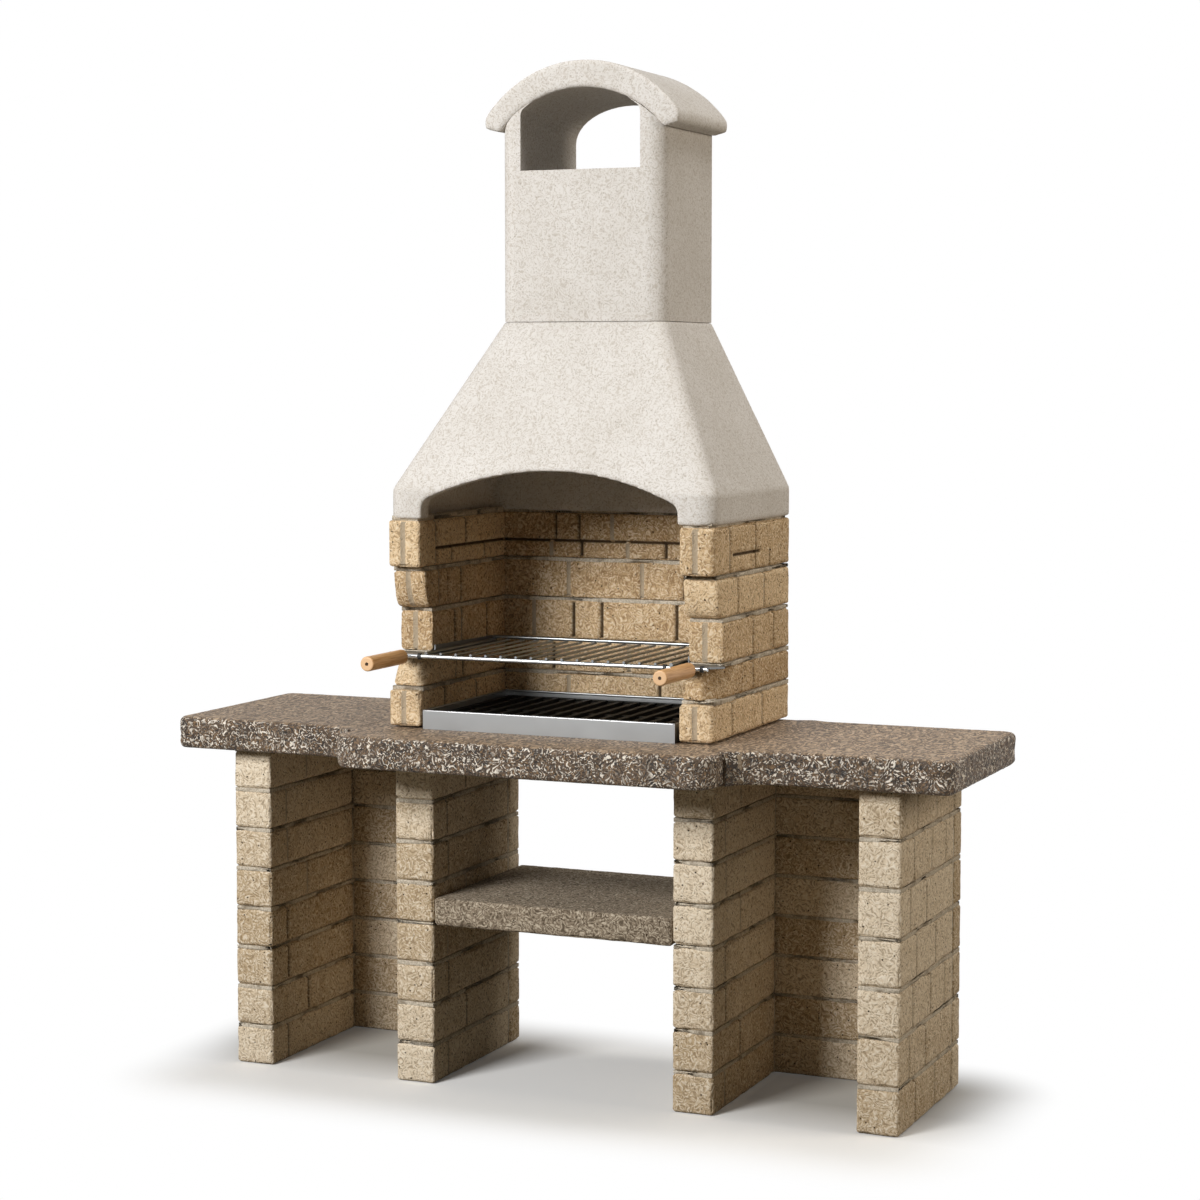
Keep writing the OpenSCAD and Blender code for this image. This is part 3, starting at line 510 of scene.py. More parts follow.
@dataclass(frozen=True)
class MouldedRubber(Finish):
    """Moulded black rubber: matt, a little shinier where it was handled."""

    colour: str = "#161616"
    roughness: float = 0.6
    spread: float = 0.1
    cloud_mm: float = 5.0

    def material(self) -> bpy.types.Material:
        """Makes the rubber material.

        Returns:
            The Blender material.
        """
        material, add, place = self.start()
        cloud = add(NOISE, {"Vector": place, "Scale": per_metre(self.cloud_mm), "Detail": 3.0})
        shine = {0: cloud, 1: 0.3, 2: 0.7, 3: self.roughness - self.spread, 4: self.roughness + self.spread}
        add(OUTPUT, {0: add(SURFACE, {"Base Color": self.colour, "Roughness": add(RANGE, shine)})})
        return material


@dataclass
class Palette:
    """Every finish of the barbecue, made once and shared by the pieces."""

    materials: dict[Slot, bpy.types.Material] = field(default_factory=dict)

    def make(self) -> None:
        """Makes the materials."""
        brick = PressedBlock(
            "tumbled_firebrick",
            dark="#bd9e76",
            middle="#e3c79f",
            light="#f7e7cc",
            hollow="#69492a",
            mortar="#a3927a",
            mortar_pale="#bfae96",
            relief_mm=2.8,
        )
        # Painted shade: the shelf's colours are set darker than the wall blocks', for the shade that it
        # stands in under the hearth slab.
        shelf = PressedBlock(
            "shade_darkened_precast_concrete",
            dark="#7a6c5c",
            middle="#a2937e",
            light="#cfc2ad",
            hollow="#3f3326",
            ridge_highlight_share=0.8,
            hollow_shade_share=0.7,
        )
        rolled = (60.0, 60.0, 0.8)
        finishes: dict[Slot, Finish] = {
            Slot.TUMBLED_BLOCK: PressedBlock("tumbled_concrete_block"),
            Slot.HEARTH_BLOCK: brick,
            Slot.MORTAR: LimeMortar("raked_lime_mortar"),
            Slot.SHELF_STONE: shelf,
            Slot.AGGREGATE_SLAB: ExposedAggregate("washed_aggregate_concrete"),
            Slot.CAST_STONE: CastConcrete("blasted_cast_concrete"),
            Slot.RAIL_STEEL: Metal("drawn_steel", colour="#77797a", roughness=0.35, spread=0.2),
            Slot.CHROMED_WIRE: Metal("chrome_plate", colour="#b9bcbe"),
            Slot.PLAIN_STEEL: Metal("zinc_plated_steel", colour="#a9abac", roughness=0.3),
            Slot.BLACK_RING: MouldedRubber("black_rubber"),
            Slot.BEECH: TurnedBeech("oiled_beech"),
            Slot.TRAY_STEEL: Metal("brushed_sheet_steel", colour="#989999", roughness=0.34, mark_mm=rolled),
            Slot.CAST_IRON: Metal("sooted_cast_iron", colour="#2b2a27", roughness=0.6, relief_mm=1.0),
        }
        for slot, finish in finishes.items():
            self.materials[slot] = finish.material()

    def of(self, slot: Slot) -> bpy.types.Material:
        """Returns the material of a slot."""
        return self.materials[slot]


# ---- mesh helpers ----

# Brings the gradient noise to about -1 to 1.
NOISE_GAIN = 1.6
# Begin and end of a false joint that runs over the whole face.
BEFORE, BEYOND = -1.0, 9.0
# Part of the pedestals' upright joints that mortar fills.
FILLED_SHARE = 0.45
# Courses of the hearth, and the number of the highest, counted from 0.
COURSES = 5
TOP_COURSE = COURSES - 1


def smooth_noise(points: np.ndarray, size: float, seed: int) -> np.ndarray:
    """Gradient noise from about -1 to 1, the same in each run.

    Args:
        points: places in metres, one row each.
        size: size of the lumps in metres.
        seed: number of the noise field.

    Returns:
        One value for each place.
    """
    random = np.random.default_rng(seed)
    table = random.permutation(256)
    slopes = random.normal(size=(256, 3))
    slopes /= np.linalg.norm(slopes, axis=1)[:, None]
    scaled = points / size
    cell = np.floor(scaled).astype(int)
    part = scaled - cell
    fade = part**3 * (part * (6 * part - 15) + 10)
    total = np.zeros(len(points))
    for corner in itertools.product((0, 1), repeat=3):
        step = cell + corner
        key = table[(table[(table[step[:, 0] & 255] + step[:, 1]) & 255] + step[:, 2]) & 255]
        weight = np.prod(np.where(corner, fade, 1 - fade), axis=1)
        total += weight * np.sum(slopes[key] * (part - corner), axis=1)
    return total * NOISE_GAIN


@dataclass
class Surface:
    """Raw mesh: points, faces and the tone and joint values of each point."""

    points: np.ndarray
    faces: list[tuple[int, ...]]
    tone: np.ndarray
    joint: np.ndarray


@dataclass(frozen=True)
class FalseJoint:
    """Groove moulded in one face of a block, filled with mortar or left as an open line.

    It crosses an axis of the block at a place, in the face that looks along another axis to one side.
    """

    axis: int
    place: float
    face: int
    side: int
    filled: bool = True
    width: float = 10 * MM
    depth: float = 5 * MM
    worn: float = 8 * MM
    begin: float = BEFORE
    end: float = BEYOND
    filled_flat: float = 0.7
    open_flat: float = 0.38
    filled_depth: float = 0.6
    open_depth: float = 1.2
    rounding: float = 3 * MM

    def flat(self) -> float:
        """Half width of the groove's floor: wide where mortar fills it, narrow where it is left open."""
        return self.width / 2 * (self.filled_flat if self.filled else self.open_flat)

    def lines(self) -> list[float]:
        """Grid lines that the groove needs across it.

        Returns:
            Their places, from the block's own corner.
        """
        half, flat = self.width / 2, self.flat()
        reaches = (-half - self.worn, -half, -flat, flat, half, half + self.worn)
        return [self.place + reach for reach in reaches]

    def cut(
        self, points: np.ndarray, normal: np.ndarray, arris: np.ndarray
    ) -> tuple[np.ndarray, np.ndarray]:
        """Works out the groove at each point, with the corners of the bricks beside it worn round.

        Args:
            points: points of the block, from its own corner.
            normal: outward direction at each point.
            arris: 1 on an arris of the block and 0 on its flat faces.

        Returns:
            Depth of the groove at each point, and 1 where it is at its deepest.
        """
        half = self.width / 2
        away = np.abs(points[:, self.axis] - self.place)
        run = points[:, 3 - self.axis - self.face]
        reached = (normal[:, self.face] * self.side > 0.35) & (run > self.begin) & (run < self.end)
        profile = np.clip((half - away) / (half - self.flat() - 1e-6), 0, 1) * reached
        rounding = arris * np.clip(1 - (away - half) / self.worn, 0, 1) * reached * self.rounding
        floor = self.depth * (self.filled_depth if self.filled else self.open_depth)
        return profile * floor + rounding * (1 - profile), (profile > 0.9).astype(float)


def grid_lines(length: float, radius: float, cell: float, joints: Sequence[FalseJoint]) -> np.ndarray:
    """Places of the grid lines along one edge of a block.

    Args:
        length: length of the edge.
        radius: rounding of the arris, where lines lie closer.
        cell: distance between lines in the flat part.
        joints: grooves that cross the edge.

    Returns:
        Sorted places from 0 to the length.
    """
    close = [0.0, radius * 0.35, radius * 0.7, radius]
    count = max(1, round((length - 2 * radius) / cell))
    lines = close + [length - v for v in close] + list(np.linspace(radius, length - radius, count + 1))
    for joint in joints:
        clear = joint.width / 2 + joint.worn * 0.6
        lines = [v for v in lines if abs(v - joint.place) > clear or v in (0.0, length)]
        lines += [v for v in joint.lines() if 0 < v < length]
    return np.unique(np.round(lines, 6))


@dataclass
class RoughBlock:
    """Stone block with worn arrises, a lumpy skin and false joints moulded in its faces."""

    low: np.ndarray
    high: np.ndarray
    radius: float = 8 * MM
    cell: float = 9 * MM
    joints: tuple[FalseJoint, ...] = ()
    lump: float = 1.4 * MM
    lump_size: float = 38 * MM
    grit_size: float = 15 * MM
    chip: float = 2.2 * MM
    chip_size: float = 24 * MM
    hollow: float = 0.0
    hollow_size: float = 90 * MM
    seed: int = 1
    tone: float = 0.5

    def build(self) -> Surface:
        """Builds the block's surface.

        Returns:
            The surface, inside the box from low to high.
        """
        size = self.high - self.low
        lines = []
        for axis in range(3):
            crossing = [joint for joint in self.joints if joint.axis == axis]
            lines.append(grid_lines(size[axis], self.radius, self.cell, crossing))
        counts = [len(line) for line in lines]
        quads = []
        for axis in range(3):
            u, v = (axis + 1) % 3, (axis + 2) % 3
            along, across = np.meshgrid(range(counts[u] - 1), range(counts[v] - 1), indexing="ij")
            for end in (0, counts[axis] - 1):
                corners = []
                for step_u, step_v in ((0, 0), (1, 0), (1, 1), (0, 1)):
                    index = [np.empty(0)] * 3
                    index[axis] = np.full(along.size, end)
                    index[u] = along.ravel() + step_u
                    index[v] = across.ravel() + step_v
                    corners.append((index[0] * counts[1] + index[1]) * counts[2] + index[2])
                faces = np.stack(corners, axis=1)
                quads.append(faces if end else faces[:, ::-1])
        every = np.concatenate(quads)
        used, faces = np.unique(every, return_inverse=True)
        faces = faces.reshape(every.shape)
        i, rest = np.divmod(used, counts[1] * counts[2])
        j, k = np.divmod(rest, counts[2])
        points = np.stack([lines[0][i], lines[1][j], lines[2][k]], axis=1)
        core = np.clip(points, self.radius, size - self.radius)
        away = points - core
        normal = away / np.linalg.norm(away, axis=1)[:, None]
        points = core + normal * self.radius
        depth, joint = self.wear(points, normal)
        placed = points - normal * depth[:, None] + self.low
        tone = np.full(len(placed), self.tone)
        return Surface(placed, [tuple(face) for face in faces.tolist()], tone, joint)

    def wear(self, points: np.ndarray, normal: np.ndarray) -> tuple[np.ndarray, np.ndarray]:
        """Works out how far each point sinks in, and which points lie in a false joint.

        Args:
            points: points of the rounded block, from its own corner.
            normal: outward direction at each point.

        Returns:
            Depth of each point, and its joint value: 1 for mortar, -1 for an open line.
        """
        place = points + self.low + self.seed * 0.37
        lumps = 0.5 + 0.5 * smooth_noise(place, self.lump_size, self.seed)
        grit = 0.5 + 0.5 * smooth_noise(place, self.grit_size, self.seed + 1)
        depth = self.lump * (0.6 * lumps + 0.4 * grit)
        flat = np.max(np.abs(normal), axis=1)
        arris = np.clip((1 - flat) * 6, 0, 1)
        bite = np.clip(smooth_noise(place, self.chip_size, self.seed + 2) * 1.6, 0, 1)
        depth += arris * bite * self.chip
        if self.hollow:
            depth += self.hollow * np.clip(smooth_noise(place, self.hollow_size, self.seed + 3) * 1.5, 0, 1)
        joint = np.zeros(len(points))
        for groove in self.joints:
            sunk, deepest = groove.cut(points, normal, arris)
            depth += sunk
            joint += deepest * (1 if groove.filled else -1)
        return depth, np.clip(joint, -1, 1)


def join(surfaces: Sequence[Surface]) -> Surface:
    """Joins several surfaces into one.

    Args:
        surfaces: the surfaces.

    Returns:
        One surface with all their points and faces.
    """
    faces: list[tuple[int, ...]] = []
    start = 0
    for surface in surfaces:
        faces += [tuple(i + start for i in face) for face in surface.faces]
        start += len(surface.points)
    return Surface(
        np.concatenate([s.points for s in surfaces]),
        faces,
        np.concatenate([s.tone for s in surfaces]),
        np.concatenate([s.joint for s in surfaces]),
    )


def add_piece(name: str, surface: Surface, material: bpy.types.Material, node: str) -> None:
    """Makes a masonry piece from a surface, in place of its CAD node.

    Args:
        name: piece name.
        surface: raw mesh in metres.
        material: its material.
        node: CAD node that it replaces.
    """
    mesh = bpy.data.meshes.new(name)
    mesh.from_pydata(surface.points.tolist(), [], surface.faces)
    for key, values in (("tone", surface.tone), ("joint", surface.joint)):
        mesh.attributes.new(key, "FLOAT", "POINT").data.foreach_set("value", values.astype(np.float32))
    mesh.shade_smooth()
    for polygon in mesh.polygons:
        # A wide flat face keeps its own normal, so that the arrises round it don't shade it.
        polygon.use_smooth = len(polygon.vertices) <= 4
    mesh.materials.append(material)
    piece = bpy.data.objects.new(name, mesh)
    bpy.context.scene.collection.objects.link(piece)
    fix(piece, node)


def fix(piece: bpy.types.Object, node: str) -> None:
    """Fixes a piece to the masonry, in place of its CAD node.

    Args:
        piece: the Blender object.
        node: CAD node that it replaces.
    """
    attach(piece, Body.MASONRY.value)
    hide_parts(node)
    LOG.info("%s: %d points, %d faces", piece.name, len(piece.data.vertices), len(piece.data.polygons))


def node_box(node: str) -> tuple[np.ndarray, np.ndarray]:
    """Lowest and highest corner of a CAD node at rest."""
    low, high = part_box(node)
    return np.array(low), np.array(high)


def course_levels(node: str, courses: int, joint: float) -> list[tuple[float, float]]:
    """Works out the levels of a wall's courses.

    Args:
        node: CAD node of the wall.
        courses: number of courses.
        joint: height of the mortar between two courses.

    Returns:
        Lowest and highest level of each course.
    """
    low, high = node_box(node)
    height = (high[2] - low[2] - (courses - 1) * joint) / courses
    bottoms = [low[2] + course * (height + joint) for course in range(courses)]
    return [(bottom, bottom + height) for bottom in bottoms]


def own_tone(seed: int, middle: float, swing: float, pace: float) -> float:
    """Tone of one block between its neighbours', from its seed."""
    return middle + swing * math.sin(seed * pace)


def side_joints(length: float, seed: int, side: int, shares: Sequence[float]) -> tuple[FalseJoint, ...]:
    """Upright false joints in one side of a wall block, some filled with mortar and some left open.

    Args:
        length: length of the block.
        seed: number that picks which of them are filled.
        side: 1 for the side that faces right and -1 for the other.
        shares: where along the block they stand, from 0 to 1.

    Returns:
        The false joints.
    """
    random = np.random.default_rng(seed)
    filled = [bool(random.random() < FILLED_SHARE) for _ in shares]
    return tuple(FalseJoint(1, length * share, 0, side, full) for share, full in zip(shares, filled))


# ---- the barbecue's sub-assemblies ----


@dataclass
class Bed:
    """Raked mortar between two blocks.

    Its lumpy face has shrunk off the next block, and a core lies deeper in the joint.
    """

    reach: float = 4.2 * MM
    rake: float = 1.5 * MM
    core_rake: float = 15 * MM
    shrinkage: float = 2.6 * MM
    face_cell: float = 18 * MM
    core_cell: float = 60 * MM
    radius: float = 2 * MM
    lump: float = 2.2 * MM
    chip: float = 1.5 * MM
    hollow: float = 7 * MM
    hollow_size: float = 70 * MM

    def fill(
        self, low: Sequence[float], high: Sequence[float], seed: int, across: int = 2, shrunk: bool = True
    ) -> list[Surface]:
        """Fills one joint with mortar.

        Args:
            low: lowest corner of the joint between the blocks' outer faces.
            high: highest corner.
            seed: number of its noise field.
            across: axis from one block to the next.
            shrunk: whether the face has left a dark slot under the next block.

        Returns:
            The face of the joint and its core.
        """
        face = (self.rake, self.shrinkage, self.face_cell, self.hollow)
        core = (self.core_rake, 0.0, self.core_cell, 0.0)
        strips = []
        for rake, slot, cell, hollow in (face, core):
            first, last = np.array(low, float), np.array(high, float)
            for axis in range(3):
                if axis == across:
                    first[axis] -= self.reach
                    last[axis] += self.reach - (slot if shrunk else 0)
                elif axis != 2:
                    first[axis] += rake
                    last[axis] -= rake
            shape = RoughBlock(first, last, self.radius, cell, lump=self.lump, chip=self.chip, seed=seed)
            shape.hollow, shape.hollow_size = hollow, self.hollow_size
            strips.append(shape.build())
        return strips


@dataclass
class BaseWall:
    """Upright base wall of blocks, with end blocks behind them.

    A side that is seen in full shows running upright joints, and the others a few. They stand at
    shares of the block's length.
    """

    node: str
    courses: int = 8
    joint: float = 6 * MM
    end_block: float = 60 * MM
    outside: int = 0
    running: tuple[tuple[float, ...], ...] = ((0.30, 0.66), (0.18, 0.48), (0.24, 0.57, 0.84))
    sparse: tuple[tuple[float, ...], ...] = ((0.19,), (0.43,), (0.20,))
    cell: float = 13 * MM
    chip: float = 4.5 * MM
    end_chip: float = 4 * MM
    upright_lift: float = 1 * MM
    seed: int = 1
    bed: Bed = field(default_factory=Bed)

    def blocks(self) -> Surface:
        """Builds the long blocks and the end blocks.

        Returns:
            The surface of all blocks.
        """
        low, high = node_box(self.node)
        split = high[1] - self.end_block - self.joint
        parts = []
        for course, (bottom, top) in enumerate(course_levels(self.node, self.courses, self.joint)):
            seed = self.seed * 100 + course * 7
            tone = own_tone(seed, 0.5, 0.42, 1.7)
            joints: tuple[FalseJoint, ...] = ()
            for side in (-1, 1):
                rows = self.running if side == self.outside else self.sparse
                joints += side_joints(split - low[1], seed + side, side, rows[course % len(rows)])
            first, last = np.array([low[0], low[1], bottom]), np.array([high[0], split, top])
            block = RoughBlock(first, last, cell=self.cell, joints=joints, chip=self.chip, seed=seed)
            block.tone = tone
            first, last = np.array([low[0], split + self.joint, bottom]), np.array([high[0], high[1], top])
            end = RoughBlock(first, last, cell=self.cell, chip=self.end_chip, seed=seed + 3, tone=1 - tone)
            parts += [block.build(), end.build()]
        return join(parts)

    def mortar(self) -> Surface:
        """Builds the mortar beds and the upright joints.

        Returns:
            The surface of all mortar of the wall.
        """
        low, high = node_box(self.node)
        split = high[1] - self.end_block - self.joint
        parts = []
        for course, (bottom, top) in enumerate(course_levels(self.node, self.courses, self.joint)):
            seed = self.seed * 100 + course * 7 + 50
            under_slab = self.bed.reach if course + 1 == self.courses else 0
            last = (high[0], high[1], top + self.joint - under_slab)
            parts += self.bed.fill((low[0], low[1], top), last, seed)
            first = (low[0], split, bottom + self.upright_lift)
            parts += self.bed.fill(first, (high[0], split + self.joint, top), seed + 1, across=1)
        return join(parts)


@dataclass
class BayBack:
    """Back wall of a side bay, whose blocks are keyed into the walls beside them."""

    node: str
    courses: int = 8
    joint: float = 6 * MM
    keyed: float = 8 * MM
    radius: float = 5 * MM
    cell: float = 14 * MM
    seed: int = 5
    bed: Bed = field(default_factory=Bed)

    def blocks(self) -> Surface:
        """Builds the blocks of the back wall.

        Returns:
            The surface of all blocks.
        """
        low, high = node_box(self.node)
        parts = []
        for course, (bottom, top) in enumerate(course_levels(self.node, self.courses, self.joint)):
            seed = self.seed * 100 + course * 7
            first = np.array([low[0] - self.keyed, low[1], bottom])
            last = np.array([high[0] + self.keyed, high[1], top])
            # Painted shade: the tone is centred low, so this back wall in the bay's shade is drawn darker
            # than the walls beside it; it swings at random about that.
            tone = own_tone(seed, 0.3, 0.3, 2.3)
            parts.append(RoughBlock(first, last, self.radius, self.cell, seed=seed, tone=tone).build())
        return join(parts)

    def mortar(self) -> Surface:
        """Builds the mortar beds of the back wall.

        Returns:
            The surface of all beds.
        """
        low, high = node_box(self.node)
        parts = []
        for course, (_, top) in enumerate(course_levels(self.node, self.courses, self.joint)):
            under_slab = self.bed.reach if course + 1 == self.courses else 0
            first = (low[0] - self.bed.core_rake, low[1], top)
            last = (high[0] + self.bed.core_rake, high[1], top + self.joint - under_slab)
            parts += self.bed.fill(first, last, self.seed + course)
        return join(parts)


@dataclass
class Pedestals:
    """The two block pedestals with their mortar, and the shelf between them."""

    palette: Palette
    end_courses: dict[str, int] = field(default_factory=lambda: {"left": 8, "right": 7})
    seeds: dict[str, int] = field(default_factory=lambda: {"left": 1, "right": 11})
    shelf_cell: float = 8 * MM
    shelf_lump: float = 2.4 * MM
    shelf_chip: float = 5 * MM
    shelf_seed: int = 71

    def build(self) -> None:
        """Builds the walls, the bay backs, their mortar and the shelf."""
        blocks = self.palette.of(Slot.TUMBLED_BLOCK)
        mortar = self.palette.of(Slot.MORTAR)
        for side, seed in self.seeds.items():
            outside = 1 if side == "right" else -1
            end = BaseWall(f"{side}_end_wall", self.end_courses[side], outside=outside, seed=seed)
            inner = BaseWall(f"{side}_inner_wall", seed=seed + 2)
            back = BayBack(f"{side}_bay_back", seed=seed + 4)
            for part in (end, inner, back):
                add_piece(f"{part.node}_blocks", part.blocks(), blocks, part.node)
            joints = join([end.mortar(), inner.mortar(), back.mortar()])
            add_piece(f"{side}_base_joints", joints, mortar, f"{side}_base_mortar")
        self.shelf()

    def shelf(self) -> None:
        """Builds the part of the shelf slab between the inner walls."""
        low, high = node_box("shelf")
        low[0] = node_box("left_inner_wall")[1][0]
        high[0] = node_box("right_inner_wall")[0][0]
        slab = RoughBlock(low, high, cell=self.shelf_cell, lump=self.shelf_lump, chip=self.shelf_chip)
        slab.seed = self.shelf_seed
        material = self.palette.of(Slot.SHELF_STONE)
        add_piece("shelf_slab", slab.build(), material, "shelf")


@dataclass(frozen=True)
class Facet:
    """Slanted cut on an upright arris of a cheek.

    Its reach across the cheek and back into it changes from the foot to the head of the course.
    """

    inner: bool
    across: tuple[float, float]
    back: tuple[float, float]

    def shift(self, from_arris: np.ndarray, level: np.ndarray) -> np.ndarray:
        """Distance that the front moves back at each point.

        Args:
            from_arris: distance of each point from the side face that the facet meets.
            level: height of each point in its course, from 0 to 1.

        Returns:
            One distance for each point.
        """
        across = np.maximum(self.across[0] + (self.across[1] - self.across[0]) * level, 1e-6)
        back = self.back[0] + (self.back[1] - self.back[0]) * level
        return back * np.clip(1 - from_arris / across, 0, 1)


@dataclass(frozen=True)
class Upright:
    """Upright false joint of a hearth course: its place along it, and the levels that it runs between."""

    along: float
    filled: bool = False
    low: float = BEFORE
    high: float = BEYOND


@dataclass
class Hearth:
    """Brick hearth: two cheeks of five courses, the back and the mortar between them.

    Each course is one cast block with bricks moulded in its faces; the top course shows a low
    row of bricks under a high one, inside and at the back.
    """

    palette: Palette
    # Setback in mm of the cheek front at the foot and at the head of each course, and of each bed.
    setbacks: tuple[tuple[float, float], ...] = ((0, 0), (17, 64), (64, 64), (26, 64), (0, 0))
    bed_setbacks: tuple[float, ...] = (0, 17, 64, 64, 26, 0)
    coved: int = 3
    squeeze: float = 112 * MM
    long_squeeze: float = 210 * MM
    low_row: float = 42 * MM
    row_begin: float = 89 * MM
    outer_row: tuple[float, float] = (125 * MM, 310 * MM)
    corner: float = 16 * MM
    cheek_radius: float = 9 * MM
    cheek_cell: float = 7 * MM
    cheek_lump: float = 3 * MM
    cheek_chip: float = 4.5 * MM
    back_radius: float = 5 * MM
    back_lump: float = 2.4 * MM
    joint_width: float = 12 * MM
    groove: float = 7 * MM
    front_joint_width: float = 15 * MM
    front_groove: float = 4 * MM
    keyed: float = 8 * MM
    # How far the lowest bed stands in from the cheeks, and the bed under the hood.
    foot_inset: float = 14 * MM
    head_inset: float = 6 * MM
    front_joint: dict[str, float] = field(default_factory=lambda: {"left": 40 * MM, "right": 45 * MM})
    jointed: dict[str, tuple[int, ...]] = field(
        default_factory=lambda: {"left": (0, 2, 3, 4), "right": (0, 2, 4)}
    )
    facets: dict[tuple[str, int], Facet] = field(
        default_factory=lambda: {
            ("left", 1): Facet(True, (0.0, 33 * MM), (0.0, 40 * MM)),
            ("right", 1): Facet(False, (36 * MM, 52 * MM), (70 * MM, 95 * MM)),
        }
    )
    bed: Bed = field(default_factory=Bed)

    def inner_uprights(self, course: int) -> tuple[Upright, ...]:
        """Upright joints on the inside of a cheek, from its front.

        Args:
            course: number of the course from below, from 0.

        Returns:
            The joints, in the top course those of its high row and of its low one.
        """
        row = self.low_row
        return (
            (Upright(0.13), Upright(0.30, True)),
            (Upright(0.185, True), Upright(0.228)),
            (Upright(0.185), Upright(0.221, True), Upright(0.36)),
            (Upright(0.100, True), Upright(0.150), Upright(0.219)),
            (
                Upright(0.089, True),
                Upright(0.247, low=row),
                Upright(0.171, high=row),
                Upright(0.348, high=row),
            ),
        )[course]

    def outer_uprights(self, course: int) -> tuple[Upright, ...]:
        """Upright joints on the outside of a cheek, from its front.

        Args:
            course: number of the course from below, from 0.

        Returns:
            The joints.
        """
        return (
            (Upright(0.126), Upright(0.325, True)),
            (Upright(0.164), Upright(0.263)),
            (Upright(0.261), Upright(0.40)),
            (Upright(0.161), Upright(0.334, True)),
            (Upright(0.108, True), Upright(0.275), Upright(0.37, high=self.low_row)),
        )[course]

    def back_uprights(self, course: int) -> tuple[Upright, ...]:
        """Upright joints of the back, from its left end.

        Args:
            course: number of the course from below, from 0.

        Returns:
            The joints, in the top course those of its high row and of its low one.
        """
        row = self.low_row
        return (
            (Upright(0.17, True), Upright(0.41)),
            (Upright(0.13), Upright(0.33, True), Upright(0.52)),
            (Upright(0.077, True), Upright(0.183), Upright(0.258), Upright(0.454)),
            (Upright(0.170, True), Upright(0.364, True), Upright(0.474)),
            (
                Upright(0.135, low=row),
                Upright(0.197, low=row),
                Upright(0.285, True, low=row),
                Upright(0.124, True, high=row),
                Upright(0.205, high=row),
                Upright(0.326, True, high=row),
                Upright(0.426, high=row),
            ),
        )[course]

    def front(self, course: int, level: np.ndarray) -> np.ndarray:
        """Setback of the cheek front: a slope from foot to head, or a cove in the coved course.

        Args:
            course: number of the course from below, from 0.
            level: height of each point in its course, from 0 to 1.

        Returns:
            One setback for each point.
        """
        foot, head = self.setbacks[course]
        rise = 1 - np.sqrt(np.clip(1 - (1 - level) ** 2, 0, 1)) if course == self.coved else level
        return (foot + (head - foot) * rise) * MM

    def cheek_joints(self, side: str, course: int, width: float) -> tuple[FalseJoint, ...]:
        """False joints of one course of a cheek.

        Args:
            side: "left" or "right".
            course: number of the course from below, from 0.
            width: width of the cheek.

        Returns:
            The joints up its sides and its front, and those along the low row of the top course.
        """
        inner = 1 if side == "left" else -1
        wide, deep = self.joint_width, self.groove
        joints = []
        faces = ((inner, self.inner_uprights(course)), (-inner, self.outer_uprights(course)))
        for facing, uprights in faces:
            for up in uprights:
                joint = FalseJoint(1, up.along, 0, facing, up.filled, wide, deep, begin=up.low, end=up.high)
                joints.append(joint)
        if course in self.jointed[side]:
            reach = self.front_joint[side]
            place = reach if side == "left" else width - reach
            joints.append(FalseJoint(0, place, 1, -1, width=self.front_joint_width, depth=self.front_groove))
        if course == TOP_COURSE:
            begin, end = self.outer_row
            joints.append(FalseJoint(2, self.low_row, 0, inner, filled=False, begin=self.row_begin))
            joints.append(FalseJoint(2, self.low_row, 0, -inner, filled=False, begin=begin, end=end))
        return tuple(joints)

    def round_arris(self, points: np.ndarray, outer_x: float, front_y: float) -> None:
        """Rubs the outer front arris of a course round, by pulling its points onto a cylinder.

        Args:
            points: points of the course, which move.
            outer_x: place of the course's outer side.
            front_y: place of its front.
        """
        inward = 1 if outer_x < 0 else -1
        centre = np.array([outer_x + inward * self.corner, front_y + self.corner])
        away = points[:, :2] - centre
        at_corner = (away[:, 0] * inward < 0) & (away[:, 1] < 0)
        length = np.linalg.norm(away, axis=1)
        far = at_corner & (length > self.corner)
        points[far, :2] = centre + away[far] * (self.corner / length[far])[:, None]

    def cheek(self, side: str, course: int, front_y: float) -> Surface:
        """Builds one course of a cheek.

        Args:
            side: "left" or "right".
            course: number of the course from below, from 0.
            front_y: place of the fronts that aren't set back.

        Returns:
            The surface of the course.
        """
        low, high = node_box(f"{side}_cheek_{course + 1}")
        low[1] = front_y
        seed = 300 + course * 11 + (50 if side == "right" else 0)
        block = RoughBlock(
            low,
            high,
            self.cheek_radius,
            self.cheek_cell,
            self.cheek_joints(side, course, high[0] - low[0]),
            lump=self.cheek_lump,
            chip=self.cheek_chip,
            seed=seed,
            tone=own_tone(seed, 0.5, 0.42, 1.3),
        )
        surface = block.build()
        if course in (0, TOP_COURSE):
            self.round_arris(surface.points, low[0] if side == "left" else high[0], front_y)
        level = (surface.points[:, 2] - low[2]) / (high[2] - low[2])
        shift = self.front(course, level)
        squeeze = self.squeeze
        facet = self.facets.get((side, course))
        if facet:
            at_high = facet.inner == (side == "left")
            from_arris = np.abs((high[0] if at_high else low[0]) - surface.points[:, 0])
            shift = shift + facet.shift(from_arris, level)
            squeeze = self.long_squeeze
        fall = np.clip(1 - (surface.points[:, 1] - front_y) / squeeze, 0, 1)
        surface.points[:, 1] += shift * fall
        return surface

